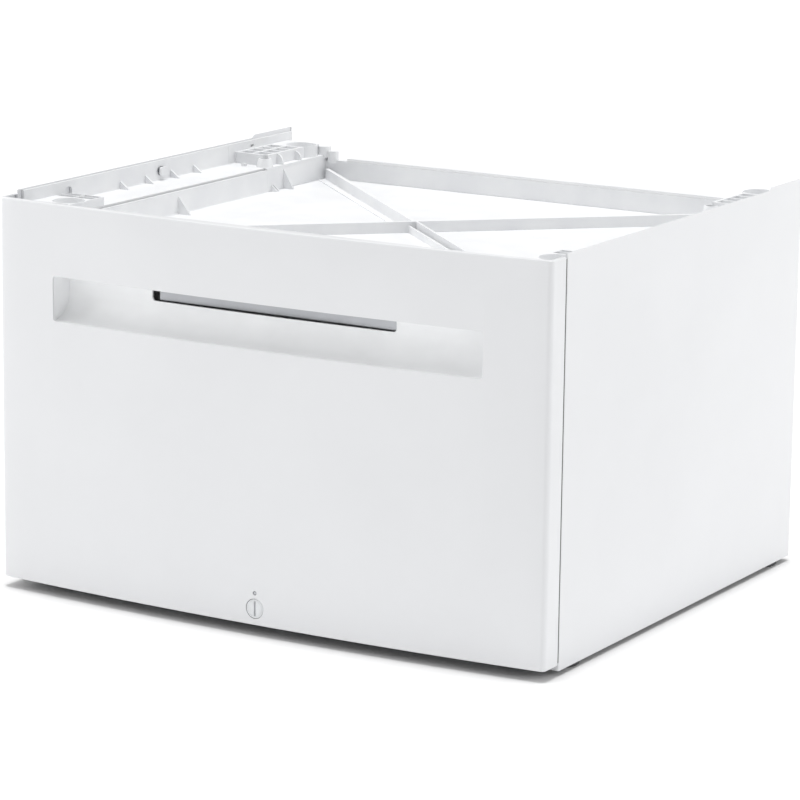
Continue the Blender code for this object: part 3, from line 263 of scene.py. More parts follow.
# %% Zinc-coated steel
galvanised, shader = new_material("galvanised_steel", "B4B8BC", 0.42, 1.0)
where = add(galvanised, "ShaderNodeTexCoord", {})
CRYSTAL = 7 * MM
crystal_inputs = {"Vector": where.outputs["Object"], "Scale": 1 / CRYSTAL, "Randomness": 1.0}
crystals = add(galvanised, "ShaderNodeTexVoronoi", crystal_inputs)
shade = add(galvanised, "ShaderNodeSeparateColor", {"Color": crystals.outputs["Color"]})
ramp = add(galvanised, "ShaderNodeValToRGB", {"Fac": shade.outputs["Red"]})
ramp.color_ramp.elements[0].color = colour("A2A6AA")
ramp.color_ramp.elements[1].color = colour("C3C7CB")
galvanised.node_tree.links.new(ramp.outputs["Color"], shader.inputs["Base Color"])
gloss_inputs = {"Value": shade.outputs["Green"], "To Min": 0.34, "To Max": 0.5}
gloss = add(galvanised, "ShaderNodeMapRange", gloss_inputs)
galvanised.node_tree.links.new(gloss.outputs["Result"], shader.inputs["Roughness"])
finishes["galvanised_steel"] = galvanised
print(galvanised.name)

# %% [markdown]
# ### Small finishes
# The screws are bright zinc plate, which is smoother than galvanised sheet and mirrors more. The
# release rod and its springs are drawn steel wire, a little darker. The feet and the lock's housing
# are glass-filled nylon, matt and nearly black, and the bumpers are softer and blacker rubber. The
# lock's barrel is a zinc die casting, painted to match the front.

# %% Small finishes
bright_zinc, shader = new_material("bright_zinc_plating", "C9CCD0", 0.24, 1.0)
mottle(bright_zinc, shader, "BFC3C8", "CED1D4", 3 * MM)
grain(bright_zinc, shader, 0.6 * MM, 0.01 * MM)
finishes["zinc_screw"] = bright_zinc

spring_wire, shader = new_material("drawn_spring_wire", "9A9EA3", 0.28, 1.0)
mottle(spring_wire, shader, "8F9398", "A3A7AB", 2 * MM)
grain(spring_wire, shader, 0.5 * MM, 0.008 * MM)
finishes["spring_steel"] = spring_wire

nylon, shader = new_material("glass_filled_nylon", "3A3B3D", 0.5)
mottle(nylon, shader, "353638", "404143", 12 * MM)
grain(nylon, shader, 0.8 * MM, 0.03 * MM)
finishes["dark_plastic"] = nylon

rubber, shader = new_material("soft_black_rubber", "2A2A2B", 0.75)
mottle(rubber, shader, "262627", "303031", 6 * MM)
grain(rubber, shader, 0.7 * MM, 0.04 * MM)
finishes["rubber"] = rubber

die_cast, shader = new_material("painted_zinc_die_casting", "E2E4E6", 0.34)
mottle(die_cast, shader, "DEE0E2", "E5E7E9", 5 * MM)
grain(die_cast, shader, 0.8 * MM, 0.015 * MM)
finishes["lock_zinc"] = die_cast

print(len(finishes), "finishes")

# %% [markdown]
# ## Modelling tools
#
# Nearly every piece is folded sheet or a ribbed moulding, so three shapes go a long way: a slab (a
# flat outline pushed along an axis), a turned solid, and a section swept along the front's bow.
# Closed solids are then fused into one skin, and a Bevel modifier rounds the edges that are left.

# %% Slabs, turned solids and fusing
def solid_of(mesh):
    """The same mesh with every face turned outwards."""
    bmesh.ops.recalc_face_normals(mesh, faces=mesh.faces)
    return mesh


def slab(points, axis, start, end, corners=None, steps=3):
    """An outline across an axis, pushed along it. corners maps an outline point to its radius."""
    across = "XYZ".index(axis)
    mesh = bmesh.new()
    verts = []
    for point in points:
        place = list(point)
        place.insert(across, start)
        verts.append(mesh.verts.new(place))
    mesh.faces.new(verts)
    for index, radius in (corners or {}).items():
        bmesh.ops.bevel(
            mesh,
            geom=[verts[index]],
            offset=radius,
            affect="VERTICES",
            segments=steps,
            profile=0.5,
            material=-1,
        )
    made = bmesh.ops.extrude_face_region(mesh, geom=list(mesh.faces))
    moved = [item for item in made["geom"] if isinstance(item, bmesh.types.BMVert)]
    along = Vector((0.0, 0.0, 0.0))
    along[across] = end - start
    bmesh.ops.translate(mesh, verts=moved, vec=along)
    return solid_of(mesh)


def block(low, high):
    """A box between two corners."""
    mesh = bmesh.new()
    low, high = Vector(low), Vector(high)
    size = Matrix.Diagonal((*(high - low), 1.0))
    bmesh.ops.create_cube(mesh, size=1.0, matrix=Matrix.Translation((low + high) / 2) @ size)
    return solid_of(mesh)


def turned(profile, axis, centre, steps=32):
    """A profile of (radius, distance along the axis), spun round the axis through centre."""
    mesh = bmesh.new()
    verts = [mesh.verts.new((radius, 0.0, height)) for radius, height in profile]
    edges = [mesh.edges.new(pair) for pair in zip(verts, verts[1:])]
    bmesh.ops.spin(
        mesh,
        geom=verts + edges,
        cent=(0, 0, 0),
        axis=(0, 0, 1),
        angle=2 * math.pi,
        steps=steps,
        use_merge=True,
    )
    bmesh.ops.remove_doubles(mesh, verts=mesh.verts, dist=1e-6)
    turns = {"X": (math.pi / 2, "Y"), "Y": (-math.pi / 2, "X"), "Z": (0.0, "Z")}
    angle, about = turns[axis]
    facing = Matrix.Rotation(angle, 4, about)
    bmesh.ops.transform(mesh, matrix=Matrix.Translation(centre) @ facing, verts=mesh.verts)
    return solid_of(mesh)


def rod_shape(radius, half_length, axis, centre, steps=32):
    """A round bar, centred."""
    profile = [(0, -half_length), (radius, -half_length), (radius, half_length), (0, half_length)]
    return turned(profile, axis, centre, steps)


def round_edges(mesh, chosen, radius):
    """Rounds the edges that chosen(edge) picks."""
    edges = [edge for edge in mesh.edges if chosen(edge)]
    bmesh.ops.bevel(
        mesh,
        geom=edges,
        offset=radius,
        affect="EDGES",
        segments=3,
        profile=0.5,
        material=-1,
        clamp_overlap=True,
    )
    return solid_of(mesh)


def scratch(mesh, collection):
    """A throwaway object that a Boolean reads."""
    data = bpy.data.meshes.new("scratch")
    mesh.to_mesh(data)
    mesh.free()
    obj = bpy.data.objects.new("scratch", data)
    collection.objects.link(obj)
    return obj


def fused(solids, cuts=()):
    """One mesh from overlapping closed solids, with the cuts taken out of it."""
    base_group = bpy.data.collections.new("base")
    bpy.context.scene.collection.children.link(base_group)
    base = scratch(solids[0], base_group)
    groups = [base_group]
    for operation, members in (("UNION", solids[1:]), ("DIFFERENCE", cuts)):
        if not members:
            continue
        group = bpy.data.collections.new(operation)
        bpy.context.scene.collection.children.link(group)
        groups.append(group)
        for member in members:
            scratch(member, group)
        modifier = base.modifiers.new(operation, "BOOLEAN")
        modifier.operation = operation
        modifier.operand_type = "COLLECTION"
        modifier.collection = group
        modifier.solver = "EXACT"
    bpy.context.view_layer.update()
    evaluated = base.evaluated_get(bpy.context.evaluated_depsgraph_get())
    result = bpy.data.meshes.new_from_object(evaluated)
    for group in groups:
        for obj in list(group.objects):
            data = obj.data
            bpy.data.objects.remove(obj)
            bpy.data.meshes.remove(data)
        bpy.data.collections.remove(group)
    return result


# %% [markdown]
# ### Placing a piece
#
# Every piece wears the finish of its slot, or one given to it, rides on a body and hides the CAD
# nodes that it stands in for. Nothing folded or moulded has a knife edge, so a Bevel modifier rounds
# each edge sharper than 40 degrees. A CAD node that needs no new shape only gets its loose triangles
# joined and its edges rounded.

# %% Placing a piece
node_slot = {part["node"]: part["material_slot"] for part in record["subparts"]}
node_body = {n: body for body, nodes in record["behaviour"]["bodies"].items() for n in nodes}
EDGE = math.radians(40)
BEVEL_STEPS = 2
WELD = 2e-6


def piece(name, shape, slot, body, replaces=(), bevel=0.35 * MM, finish=None):
    """A finished piece: smooth shading, rounded edges, its finish, and the body that it rides on."""
    if isinstance(shape, bmesh.types.BMesh):
        data = bpy.data.meshes.new(name)
        shape.to_mesh(data)
        shape.free()
        shape = data
    shape.name = name
    obj = bpy.data.objects.new(name, shape)
    bpy.context.scene.collection.objects.link(obj)
    shape.materials.clear()
    shape.materials.append(finish or finishes[slot])
    shape.shade_smooth()
    shape.set_sharp_from_angle(angle=EDGE)
    if bevel:
        modifier = obj.modifiers.new("edges", "BEVEL")
        modifier.width = bevel
        modifier.segments = BEVEL_STEPS
        modifier.limit_method = "ANGLE"
        modifier.angle_limit = EDGE
        modifier.harden_normals = True
        modifier.use_clamp_overlap = True
    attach(obj, body)
    if replaces:
        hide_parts(*replaces)
    return obj


def joined(node):
    """A copy of a CAD node, its loose triangles merged and its flat faces joined."""
    mesh = bmesh.new()
    mesh.from_mesh(frame["nodes"][node].data)
    bmesh.ops.remove_doubles(mesh, verts=mesh.verts, dist=WELD)
    flat = math.radians(0.5)
    bmesh.ops.dissolve_limit(mesh, angle_limit=flat, verts=mesh.verts, edges=mesh.edges)
    return mesh


def refined(node, bevel=0.3 * MM):
    """A CAD node's own shape with its edges rounded and its own finish."""
    name = f"{node}_finished"
    return piece(name, joined(node), node_slot[node], node_body[node], (node,), bevel)


print(len(node_slot), "nodes with a slot,", len(node_body), "with a body")

# %% [markdown]
# ## The drawer's front
#
# One sheet, bowed by 13 mm across its width, with its sides folded back and rims folded in along
# the top and the bottom. The fold along the top catches the overhead light as a thin bright line.
# The bow is one long arc, so it is worked out from its sagitta. The outer form is a slab with its
# long edges rounded, and the inside is taken out of it, which leaves a sheet of even thickness.

# %% Sizes from the frame
SHEET = 1.0 * MM
BOW = 13 * MM
front_low, front_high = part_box("drawer_front_skin")
side_low, side_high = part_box("side_panel_right")
HALF = side_high.x
FRONT_Y, RETURN_Y = front_low.y, front_high.y
CORNER_Y = FRONT_Y + BOW
BOW_RADIUS = (HALF**2 + BOW**2) / (2 * BOW)
FIN_RISE = 3 * MM
SIDE_TOP = side_high.z - FIN_RISE
SIDES = (("left", -1), ("right", 1))


def bow_y(x):
    """The outer face of the front at x."""
    return FRONT_Y + BOW_RADIUS - math.sqrt(BOW_RADIUS**2 - x**2)


def front_form(inset, back_y, low, high, radius, fold=0.0):
    """The bowed front as a closed solid, moved inwards by inset, its long edges rounded by fold."""
    side = HALF - inset
    steps = 28
    arc = [-side + 2 * side * k / steps for k in range(steps + 1)]
    points = [(x, bow_y(x) + inset) for x in arc] + [(side, back_y), (-side, back_y)]
    mesh = slab(points, "Z", low, high, {0: radius, steps: radius}, steps=5)

    def at_an_end(edge):
        return any(all(abs(vert.co.z - z) < 1e-6 for vert in edge.verts) for z in (low, high))

    if fold:
        round_edges(mesh, at_an_end, fold)
    return mesh


print("the bow's radius is", round(BOW_RADIUS, 3), "m")

# %% [markdown]
# ### The front sheet
#
# Two rims are folded in, 4 mm wide, and between them the sheet is open to the back. The mouth for
# the fingers is a punched slot, and two round holes below it take the lock and its mark. A press
# would blank the openings first and fold afterwards; here they are cut through the finished form,
# which gives the same sheet in fewer steps.

# %% Front sheet
RIM = 4 * MM
HANDLE_HALF = 234 * MM
HANDLE_DROP = 69.3 * MM
HANDLE_HEIGHT = 43.2 * MM
HANDLE_CORNER = 3 * MM
HANDLE_TOP = front_high.z - HANDLE_DROP
HANDLE_BOTTOM = HANDLE_TOP - HANDLE_HEIGHT
lock_low, lock_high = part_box("lock_barrel")
lock_centre = (lock_low + lock_high) / 2
LOCK_RADIUS = (lock_high.x - lock_low.x) / 2

outer_form = front_form(0.0, RETURN_Y, front_low.z, front_high.z, 5 * MM, fold=1.3 * MM)
inner_low, inner_high = front_low.z + SHEET, front_high.z - SHEET
inner_form = front_form(SHEET, RETURN_Y - SHEET, inner_low, inner_high, 4 * MM, fold=0.5 * MM)
# How far a cutter reaches beyond what it cuts.
past = 10 * MM
between_rims = front_form(RIM, RETURN_Y + past, front_low.z - past, front_high.z + past, 1 * MM)
mouth = slab(
    [
        (-HANDLE_HALF, HANDLE_BOTTOM),
        (HANDLE_HALF, HANDLE_BOTTOM),
        (HANDLE_HALF, HANDLE_TOP),
        (-HANDLE_HALF, HANDLE_TOP),
    ],
    "Y",
    FRONT_Y - past,
    CORNER_Y + 5 * MM,
    {corner: HANDLE_CORNER for corner in range(4)},
    steps=5,
)
hole_radius = LOCK_RADIUS + 0.4 * MM
lock_hole = rod_shape(hole_radius, past, "Y", (lock_centre.x, FRONT_Y, lock_centre.z), 48)
MARK_RISE = 15 * MM
MARK_RADIUS = 1.5 * MM
mark_z = lock_centre.z + MARK_RISE
mark_hole = rod_shape(MARK_RADIUS + 0.5 * MM, past, "Y", (0, FRONT_Y, mark_z), 32)
front_sheet = piece(
    "front_sheet",
    fused([outer_form], [inner_form, between_rims, mouth, lock_hole, mark_hole]),
    "painted_sheet",
    "drawer",
    ["drawer_front_skin"],
    bevel=0.25 * MM,
)
print("front sheet:", len(front_sheet.data.polygons), "faces")

# %% [markdown]
# Under the top rim a strip lies on the stiffener, with a lip down its back, and closes the hollow of
# the front. The inner front behind it is a folded pan that stays below the rim, so the eye passes
# over both of them into the tray. Along each side a dark strip in the rubber finish fills the gap
# that the drawer closes onto. It is painted shade: it draws the dark line that shade in that gap
# makes on the real pedestal.

# %% Cover strip, inner front and painted shade strips
STRIP = 1.2 * MM
STRIP_GAP = 0.3 * MM
PAN_DROP = 12 * MM
stiffener_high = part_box("front_stiffener")[1]
strip_top = stiffener_high.z + 0.1 * MM + STRIP
strip_back = stiffener_high.y + STRIP_GAP + SHEET
PAN_TOP = front_high.z - PAN_DROP
cover = front_form(SHEET + STRIP_GAP, strip_back, strip_top - STRIP, strip_top, 2 * MM)
lip_half = HALF - 2 * SHEET
lip_low = (-lip_half, strip_back - SHEET, PAN_TOP - SHEET)
cover_lip = block(lip_low, (lip_half, strip_back, strip_top))
piece("top_cover_strip", fused([cover, cover_lip]), "painted_sheet", "drawer", bevel=0)

pan_low, pan_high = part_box("drawer_inner_front")
pan_mesh = joined("drawer_inner_front")
neck_back = max(vert.co.y for vert in pan_mesh.verts if vert.co.z > pan_high.z - SHEET)
flange_low = (pan_low.x, strip_back + 0.1 * MM, PAN_TOP - SHEET)
pan_flange = block(flange_low, (pan_high.x, neck_back, PAN_TOP))
above_pan = block((pan_low.x - past, strip_back - past, PAN_TOP), (HALF, pan_high.y, front_high.z))
pan = fused([pan_mesh, pan_flange], [above_pan])
piece("inner_front_pan", pan, "painted_sheet", "drawer", ["drawer_inner_front"])

# The dark strips along the sides are painted shade for the gap that the drawer closes onto.
SHADE_STRIP_OUTER = HALF - 0.4 * MM
SHADE_STRIP_INNER = HALF - 7 * MM
SHADE_STRIP_RISE = 8 * MM
SHADE_STRIP_DROP = {"left": 12 * MM, "right": 2 * MM}
shade_strip_front, shade_strip_back = RETURN_Y + 0.35 * MM, side_low.y - 0.02 * MM
for side, sign in SIDES:
    x_low, x_high = sorted((sign * SHADE_STRIP_OUTER, sign * SHADE_STRIP_INNER))
    low = (x_low, shade_strip_front, side_low.z + SHADE_STRIP_RISE)
    high = (x_high, shade_strip_back, front_high.z - SHADE_STRIP_DROP[side])
    piece(f"painted_shade_strip_{side}", block(low, high), "rubber", "cabinet", bevel=0)
print("the strip's top is", round((front_high.z - strip_top) / MM, 1), "mm below the rim")

# %% [markdown]
# ## The finger recess
#
# A long ABS trough behind the opening. Its lower half sweeps back in a quarter of an ellipse, so
# fingers run up into it, and above that the back wall is straight, with a slot for the release bar.
# The section is spun about the bow's own axis, so the trough follows the front. Two pierced ears
# stand on its back and carry the rod that the bar turns on.

# %% Finger recess
WALL = 2 * MM
SCOOP = 27.5 * MM
RECESS_DEPTH = 25 * MM
SLOT_BOTTOM = HANDLE_BOTTOM + SCOOP
SLOT_HALF = 133.5 * MM


def along_bow(section, half_width, steps=28):
    """A closed section of (depth, height), swept along the bow by a spin about its axis."""
    angle = math.asin(half_width / BOW_RADIUS)
    mesh = bmesh.new()
    verts = [mesh.verts.new((0.0, FRONT_Y + depth, height)) for depth, height in section]
    start = mesh.faces.new(verts)
    centre = (0.0, FRONT_Y + BOW_RADIUS, 0.0)
    back = Matrix.Rotation(-angle, 3, "Z")
    bmesh.ops.rotate(mesh, cent=centre, matrix=back, verts=mesh.verts)
    bmesh.ops.spin(
        mesh,
        geom=[start] + list(start.edges) + list(start.verts),
        cent=centre,
        axis=(0, 0, 1),
        angle=2 * angle,
        steps=steps,
    )
    bmesh.ops.remove_doubles(mesh, verts=mesh.verts, dist=1e-6)
    return solid_of(mesh)


def scoop_section():
    """The room inside the trough, as (depth, height)."""
    steps = 14
    section = []
    for k in range(steps + 1):
        turn = math.pi / 2 * k / steps
        depth = RECESS_DEPTH * math.sin(turn)
        section.append((depth, SLOT_BOTTOM - SCOOP * math.cos(turn)))
    section += [(RECESS_DEPTH, HANDLE_TOP), (-2 * MM, HANDLE_TOP), (-2 * MM, HANDLE_BOTTOM)]
    return section


def round_an_end(edge):
    """Whether an edge runs round one of the trough's ends, behind the sheet."""
    near_end = all(abs(vert.co.x) > HANDLE_HALF - 4 * MM for vert in edge.verts)
    across = abs(edge.verts[0].co.x - edge.verts[1].co.x) < 2.5 * MM
    behind = all(vert.co.y > bow_y(HANDLE_HALF) + 1 * MM for vert in edge.verts)
    return near_end and across and behind and edge.calc_face_angle(0.0) > 1.2


shell_front = SHEET + 0.3 * MM
shell_back = RECESS_DEPTH + WALL
shell_low, shell_high = HANDLE_BOTTOM - WALL, HANDLE_TOP + WALL
shell = [
    (shell_front, shell_low),
    (shell_back * 0.55, shell_low),
    (shell_back, SLOT_BOTTOM - SCOOP * 0.45),
    (shell_back, shell_high),
    (shell_front, shell_high),
]
FLANGE_WIDTH = 7 * MM
lip = [
    (shell_front, shell_low - FLANGE_WIDTH),
    (shell_front + WALL, shell_low - FLANGE_WIDTH),
    (shell_front + WALL, shell_high + FLANGE_WIDTH),
    (shell_front, shell_high + FLANGE_WIDTH),
]
END_ROUND = 2.0 * MM
scoop = along_bow(scoop_section(), HANDLE_HALF)
round_edges(scoop, round_an_end, END_ROUND)
SLOT_CORNER = 3.5 * MM
slot = slab(
    [
        (-SLOT_HALF, SLOT_BOTTOM),
        (SLOT_HALF, SLOT_BOTTOM),
        (SLOT_HALF, HANDLE_TOP),
        (-SLOT_HALF, HANDLE_TOP),
    ],
    "Y",
    FRONT_Y + RECESS_DEPTH - 3 * MM,
    FRONT_Y + RECESS_DEPTH + 8 * MM,
    {0: SLOT_CORNER, 1: SLOT_CORNER},
    steps=5,
)
rod_low, rod_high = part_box("release_rod")
rod_centre = (rod_low + rod_high) / 2
ROD_RADIUS = (rod_high.z - rod_low.z) / 2
bar_low, bar_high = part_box("release_bar")
ROD_PLAY = 0.4 * MM
EAR = 3 * MM
EAR_HALF_HEIGHT = 5.5 * MM
EAR_CORNER = 2.5 * MM
ear_start = bar_high.x + 8.5 * MM
ear_root = bow_y(ear_start) + RECESS_DEPTH + 1 * MM
ear_tip = rod_centre.y + 3.5 * MM
ear = [
    (ear_root, rod_centre.z - EAR_HALF_HEIGHT),
    (ear_tip, rod_centre.z - EAR_HALF_HEIGHT),
    (ear_tip, rod_centre.z + EAR_HALF_HEIGHT),
    (ear_root, rod_centre.z + EAR_HALF_HEIGHT),
]
ears, ear_holes = [], []
for side, sign in SIDES:
    near, far = sorted((sign * ear_start, sign * (ear_start + EAR)))
    ears.append(slab(ear, "X", near, far, {1: EAR_CORNER, 2: EAR_CORNER}, steps=5))
    ear_centre = ((near + far) / 2, rod_centre.y, rod_centre.z)
    ear_holes.append(rod_shape(ROD_RADIUS + ROD_PLAY, past, "X", ear_centre))
shell_half = HANDLE_HALF + WALL
recess_solids = [along_bow(shell, shell_half), along_bow(lip, shell_half + FLANGE_WIDTH)]
# The recess wears the brighter moulding, painted light for the light that doesn't reach into it.
recess = piece(
    "finger_recess",
    fused(recess_solids + ears, [scoop, slot] + ear_holes),
    "white_moulding",
    "drawer",
    ["handle_recess"],
    bevel=0.3 * MM,
    finish=recess_painted_light_moulding,
)
print("finger recess:", len(recess.data.polygons), "faces")

# %% [markdown]
# ## The release bar
#
# Fingertips push this grey bar back through the slot. Its blade hangs from a round knuckle on the
# rod, and a hook at the middle reaches back to the strike. A moulder would add ribs between the
# blade and the knuckle to keep them square, so they are here too.

# %% Release bar
BLADE = 2 * MM
bar_half = bar_high.x
bar_face = bar_low.y
pivot_y, pivot_z = rod_centre.y, rod_centre.z
blade = [
    (bar_face, bar_low.z),
    (bar_face + BLADE, bar_low.z),
    (bar_face + BLADE, pivot_z - 4.5 * MM),
    (pivot_y, pivot_z - 2 * MM),
    (pivot_y, pivot_z + 2 * MM),
    (bar_face, pivot_z - 1 * MM),
]
pivot = (0, pivot_y, pivot_z)
knuckle = rod_shape(4.2 * MM, bar_half, "X", pivot)
HOOK_HALF = 12 * MM
hook_root = pivot_y + 3.2 * MM
hook_tip = bar_high.y
hook = [
    (hook_root, pivot_z - 1 * MM),
    (hook_tip - 2 * MM, pivot_z - 1 * MM),
    (hook_tip - 2 * MM, pivot_z - 4 * MM),
    (hook_tip, pivot_z - 4 * MM),
    (hook_tip, pivot_z + 1.5 * MM),
    (hook_root, pivot_z + 1.5 * MM),
]
# The blade stops short of the slot's left end, where the slot shows dark.
LEFT_GAP = 3.5 * MM
blade_end = SLOT_HALF - 0.5 * MM
bar_solids = [
    slab(blade, "X", LEFT_GAP - bar_half, blade_end, {0: 0.6 * MM, 1: 0.6 * MM, 5: 0.8 * MM}),
    knuckle,
    slab(hook, "X", -HOOK_HALF, HOOK_HALF, {2: 0.6 * MM, 3: 1 * MM, 4: 1 * MM}),
]
RIBS = 9
RIB_INSET = 12 * MM
RIB_HALF = 0.8 * MM
rib = [
    (bar_face + BLADE - 0.3 * MM, bar_low.z + 3 * MM),
    (bar_face + BLADE + 1.2 * MM, bar_low.z + 4 * MM),
    (pivot_y - 1 * MM, pivot_z - 2.5 * MM),
    (bar_face + BLADE - 0.3 * MM, pivot_z - 3 * MM),
]
for k in range(RIBS):
    x = -bar_half + RIB_INSET + (2 * bar_half - 2 * RIB_INSET) * k / (RIBS - 1)
    bar_solids.append(slab(rib, "X", x - RIB_HALF, x + RIB_HALF))
bar_bore = rod_shape(ROD_RADIUS + ROD_PLAY, bar_half + past, "X", pivot)
lever = fused(bar_solids, [bar_bore])
release = piece("release_lever", lever, "grey_moulding", "release", ["release_bar"], 0.2 * MM)
print("release bar:", len(release.data.polygons), "faces")

# %% [markdown]
# ## The coin lock
#
# A die-cast barrel, flush with the front, with a slot that a coin turns. A fine groove runs round
# its face, and the edge of the slot is rolled so that a coin doesn't chip the paint. Above it a
# small flanged stud, pushed through a hole in the sheet from behind, marks the open position.

# %% Coin lock
face_y = lock_low.y
groove_inner, groove_outer = LOCK_RADIUS - 1.9 * MM, LOCK_RADIUS - 1.4 * MM
groove_open, groove_bottom = face_y - 1 * MM, face_y + 0.3 * MM
groove = [
    (groove_inner, groove_open),
    (groove_outer, groove_open),
    (groove_outer, groove_bottom),
    (groove_inner, groove_bottom),
    (groove_inner, groove_open),
]
FACE_CHAMFER = 0.4 * MM
SPINDLE = 3.5 * MM
barrel_end = face_y + 21.8 * MM
barrel_profile = [
    (0, face_y),
    (LOCK_RADIUS - FACE_CHAMFER, face_y),
    (LOCK_RADIUS, face_y + FACE_CHAMFER),
    (LOCK_RADIUS, barrel_end),
    (SPINDLE, barrel_end),
    (SPINDLE, lock_high.y),
    (0, lock_high.y),
]
axis_point = (lock_centre.x, 0.0, lock_centre.z)
COIN_WIDE, COIN_LONG = 1.1 * MM, 7.25 * MM
coin_slot = slab(
    [
        (-COIN_WIDE, lock_centre.z - COIN_LONG),
        (COIN_WIDE, lock_centre.z - COIN_LONG),
        (COIN_WIDE, lock_centre.z + COIN_LONG),
        (-COIN_WIDE, lock_centre.z + COIN_LONG),
    ],
    "Y",
    face_y - 1 * MM,
    face_y + 2.5 * MM,
    {corner: 1 * MM for corner in range(4)},
)
barrel_cuts = [coin_slot, turned(groove, "Y", axis_point, 48)]
barrel_mesh = fused([turned(barrel_profile, "Y", axis_point, 48)], barrel_cuts)
piece("coin_barrel", barrel_mesh, "lock_zinc", "lock", ["lock_barrel"], 0.2 * MM)

STUD, STUD_FLANGE, STUD_EDGE = 2 * MM, 0.6 * MM, 0.3 * MM
stud_reach = MARK_RADIUS + 1.5 * MM
stud_profile = [
    (0, 0),
    (MARK_RADIUS - STUD_EDGE, 0),
    (MARK_RADIUS, STUD_EDGE),
    (MARK_RADIUS, STUD),
    (stud_reach, STUD),
    (stud_reach, STUD + STUD_FLANGE),
    (0, STUD + STUD_FLANGE),
]
stud = turned(stud_profile, "Y", (0, FRONT_Y + 0.2 * MM, mark_z), 24)
piece("open_mark", stud, "grey_moulding", "drawer", bevel=0)
print("the lock is", round(2 * LOCK_RADIUS / MM, 1), "mm across")

# %% [markdown]
# ## Side panels
#
# Each is one folded sheet: a flange along the front, a flange along the rear, and a raised fin at
# the rear of the top edge that locates the machine's own side panel. The flanges stop below the
# top, so that the mouldings can reach into the corners.

# %% Side panels
FLANGE = 19 * MM
FIN_LENGTH = 75 * MM
FIN_RAMP = 4 * MM
NOTCH_DROP = 24 * MM
NOTCH_DEPTH = 5 * MM
SIDE_FRONT_Y, REAR_Y = side_low.y, side_high.y


def side_panel(sign):
    """One folded side; sign is -1 on the left and 1 on the right."""
    far, near = sign * HALF, sign * (HALF - FLANGE)
    inner = sign * (HALF - SHEET)
    plan = [
        (near, SIDE_FRONT_Y),
        (far, SIDE_FRONT_Y),
        (far, REAR_Y),
        (near, REAR_Y),
        (near, REAR_Y - SHEET),
        (inner, REAR_Y - SHEET),
        (inner, SIDE_FRONT_Y + SHEET),
        (near, SIDE_FRONT_Y + SHEET),
    ]
    bends = {1: 1.8 * MM, 2: 1.8 * MM, 5: 0.8 * MM, 6: 0.8 * MM}
    wall = slab(plan, "Z", side_low.z, side_high.z, bends, steps=4)
    fin_y = REAR_Y - FIN_LENGTH
    above = [
        (SIDE_FRONT_Y - past, SIDE_TOP),
        (fin_y, SIDE_TOP),
        (fin_y + FIN_RAMP, side_high.z + 0.1 * MM),
        (fin_y + FIN_RAMP, side_high.z + past),
        (SIDE_FRONT_Y - past, side_high.z + past),
    ]
    reach = sorted((sign * (HALF - FLANGE - past), sign * (HALF + past)))
    notches = []
    at_front = (SIDE_FRONT_Y, SIDE_FRONT_Y + NOTCH_DEPTH)
    at_rear = (REAR_Y - NOTCH_DEPTH, REAR_Y)
    for start, end in (at_front, at_rear):
        x_low, x_high = sorted((near, sign * (HALF - 2.2 * MM)))
        low = (x_low - past if sign > 0 else x_low, start - past, SIDE_TOP - NOTCH_DROP)
        high = (x_high if sign > 0 else x_high + past, end + past, SIDE_TOP + past)
        notches.append(block(low, high))
    return fused([wall], [slab(above, "X", *reach)] + notches)


for side, sign in SIDES:
    panel = [f"side_panel_{side}"]
    piece(f"side_sheet_{side}", side_panel(sign), "painted_sheet", "cabinet", panel, 0.25 * MM)
print("side panels done")

# %% [markdown]
# ## Top mouldings
#
# The machine stands on four polypropylene mouldings: a shelf along each side, a tray between them
# that catches drips, and a rear piece that closes the tray. All of them are thin skins stiffened by
# ribs: small triangular gussets in the corners, and a grid of open cells beside each dish that a
# machine's foot stands in. Their seams lie where the CAD parts meet.

# %% Sizes of the top
SKIN = 2.5 * MM
shelf_low, shelf_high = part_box("top_shelf_right")
tray_low, tray_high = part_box("tray")
rear_low, rear_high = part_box("top_frame_rear")
SHELF_OUTER = shelf_high.x
SHELF_WALL = SHELF_OUTER - SKIN
SHELF_INNER = shelf_low.x
SHELF_BOTTOM = shelf_low.z
SHELF_TOP = SHELF_BOTTOM + SKIN
RIM_TOP = shelf_high.z
SEAM_Y = rear_low.y
TOP_FRONT_Y = shelf_low.y
TRAY_OUTER = tray_high.x
TRAY_HALF = TRAY_OUTER - SKIN
TRAY_BOTTOM = tray_low.z
TRAY_FLOOR = TRAY_BOTTOM + SKIN
TRAY_TOP = tray_high.z
TRAY_FRONT = tray_low.y
REAR_WALL_Y = tray_high.y - SKIN
FOOT_RADIUS = 19 * MM
SOCKET_X = 267 * MM
FRONT_SOCKET_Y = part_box("foot_front_right")[0].y + FOOT_RADIUS
REAR_SOCKET_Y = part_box("foot_rear_right")[0].y + FOOT_RADIUS
SOCKET_RADIUS = 16 * MM
RIB = 1.5 * MM
FRONT_BLOCK_TOP = SHELF_TOP + 8.5 * MM
REAR_BLOCK_TOP = SHELF_TOP + 11.5 * MM


def sided(sign, x_near, x_far, low, high):
    """A block between two distances from the middle plane."""
    x_low, x_high = sorted((sign * x_near, sign * x_far))
    return block((x_low, *low), (x_high, *high))


def gusset(sign, root, foot, y, base, height, width=2 * MM):
    """A triangular rib with its tall end at root and its low end at foot, across X."""
    points = [
        (sign * root, base - SKIN / 2),
        (sign * foot, base - SKIN / 2),
        (sign * foot, base + 1 * MM),
        (sign * root, base + height),
    ]
    return slab(points, "Y", y - width / 2, y + width / 2)


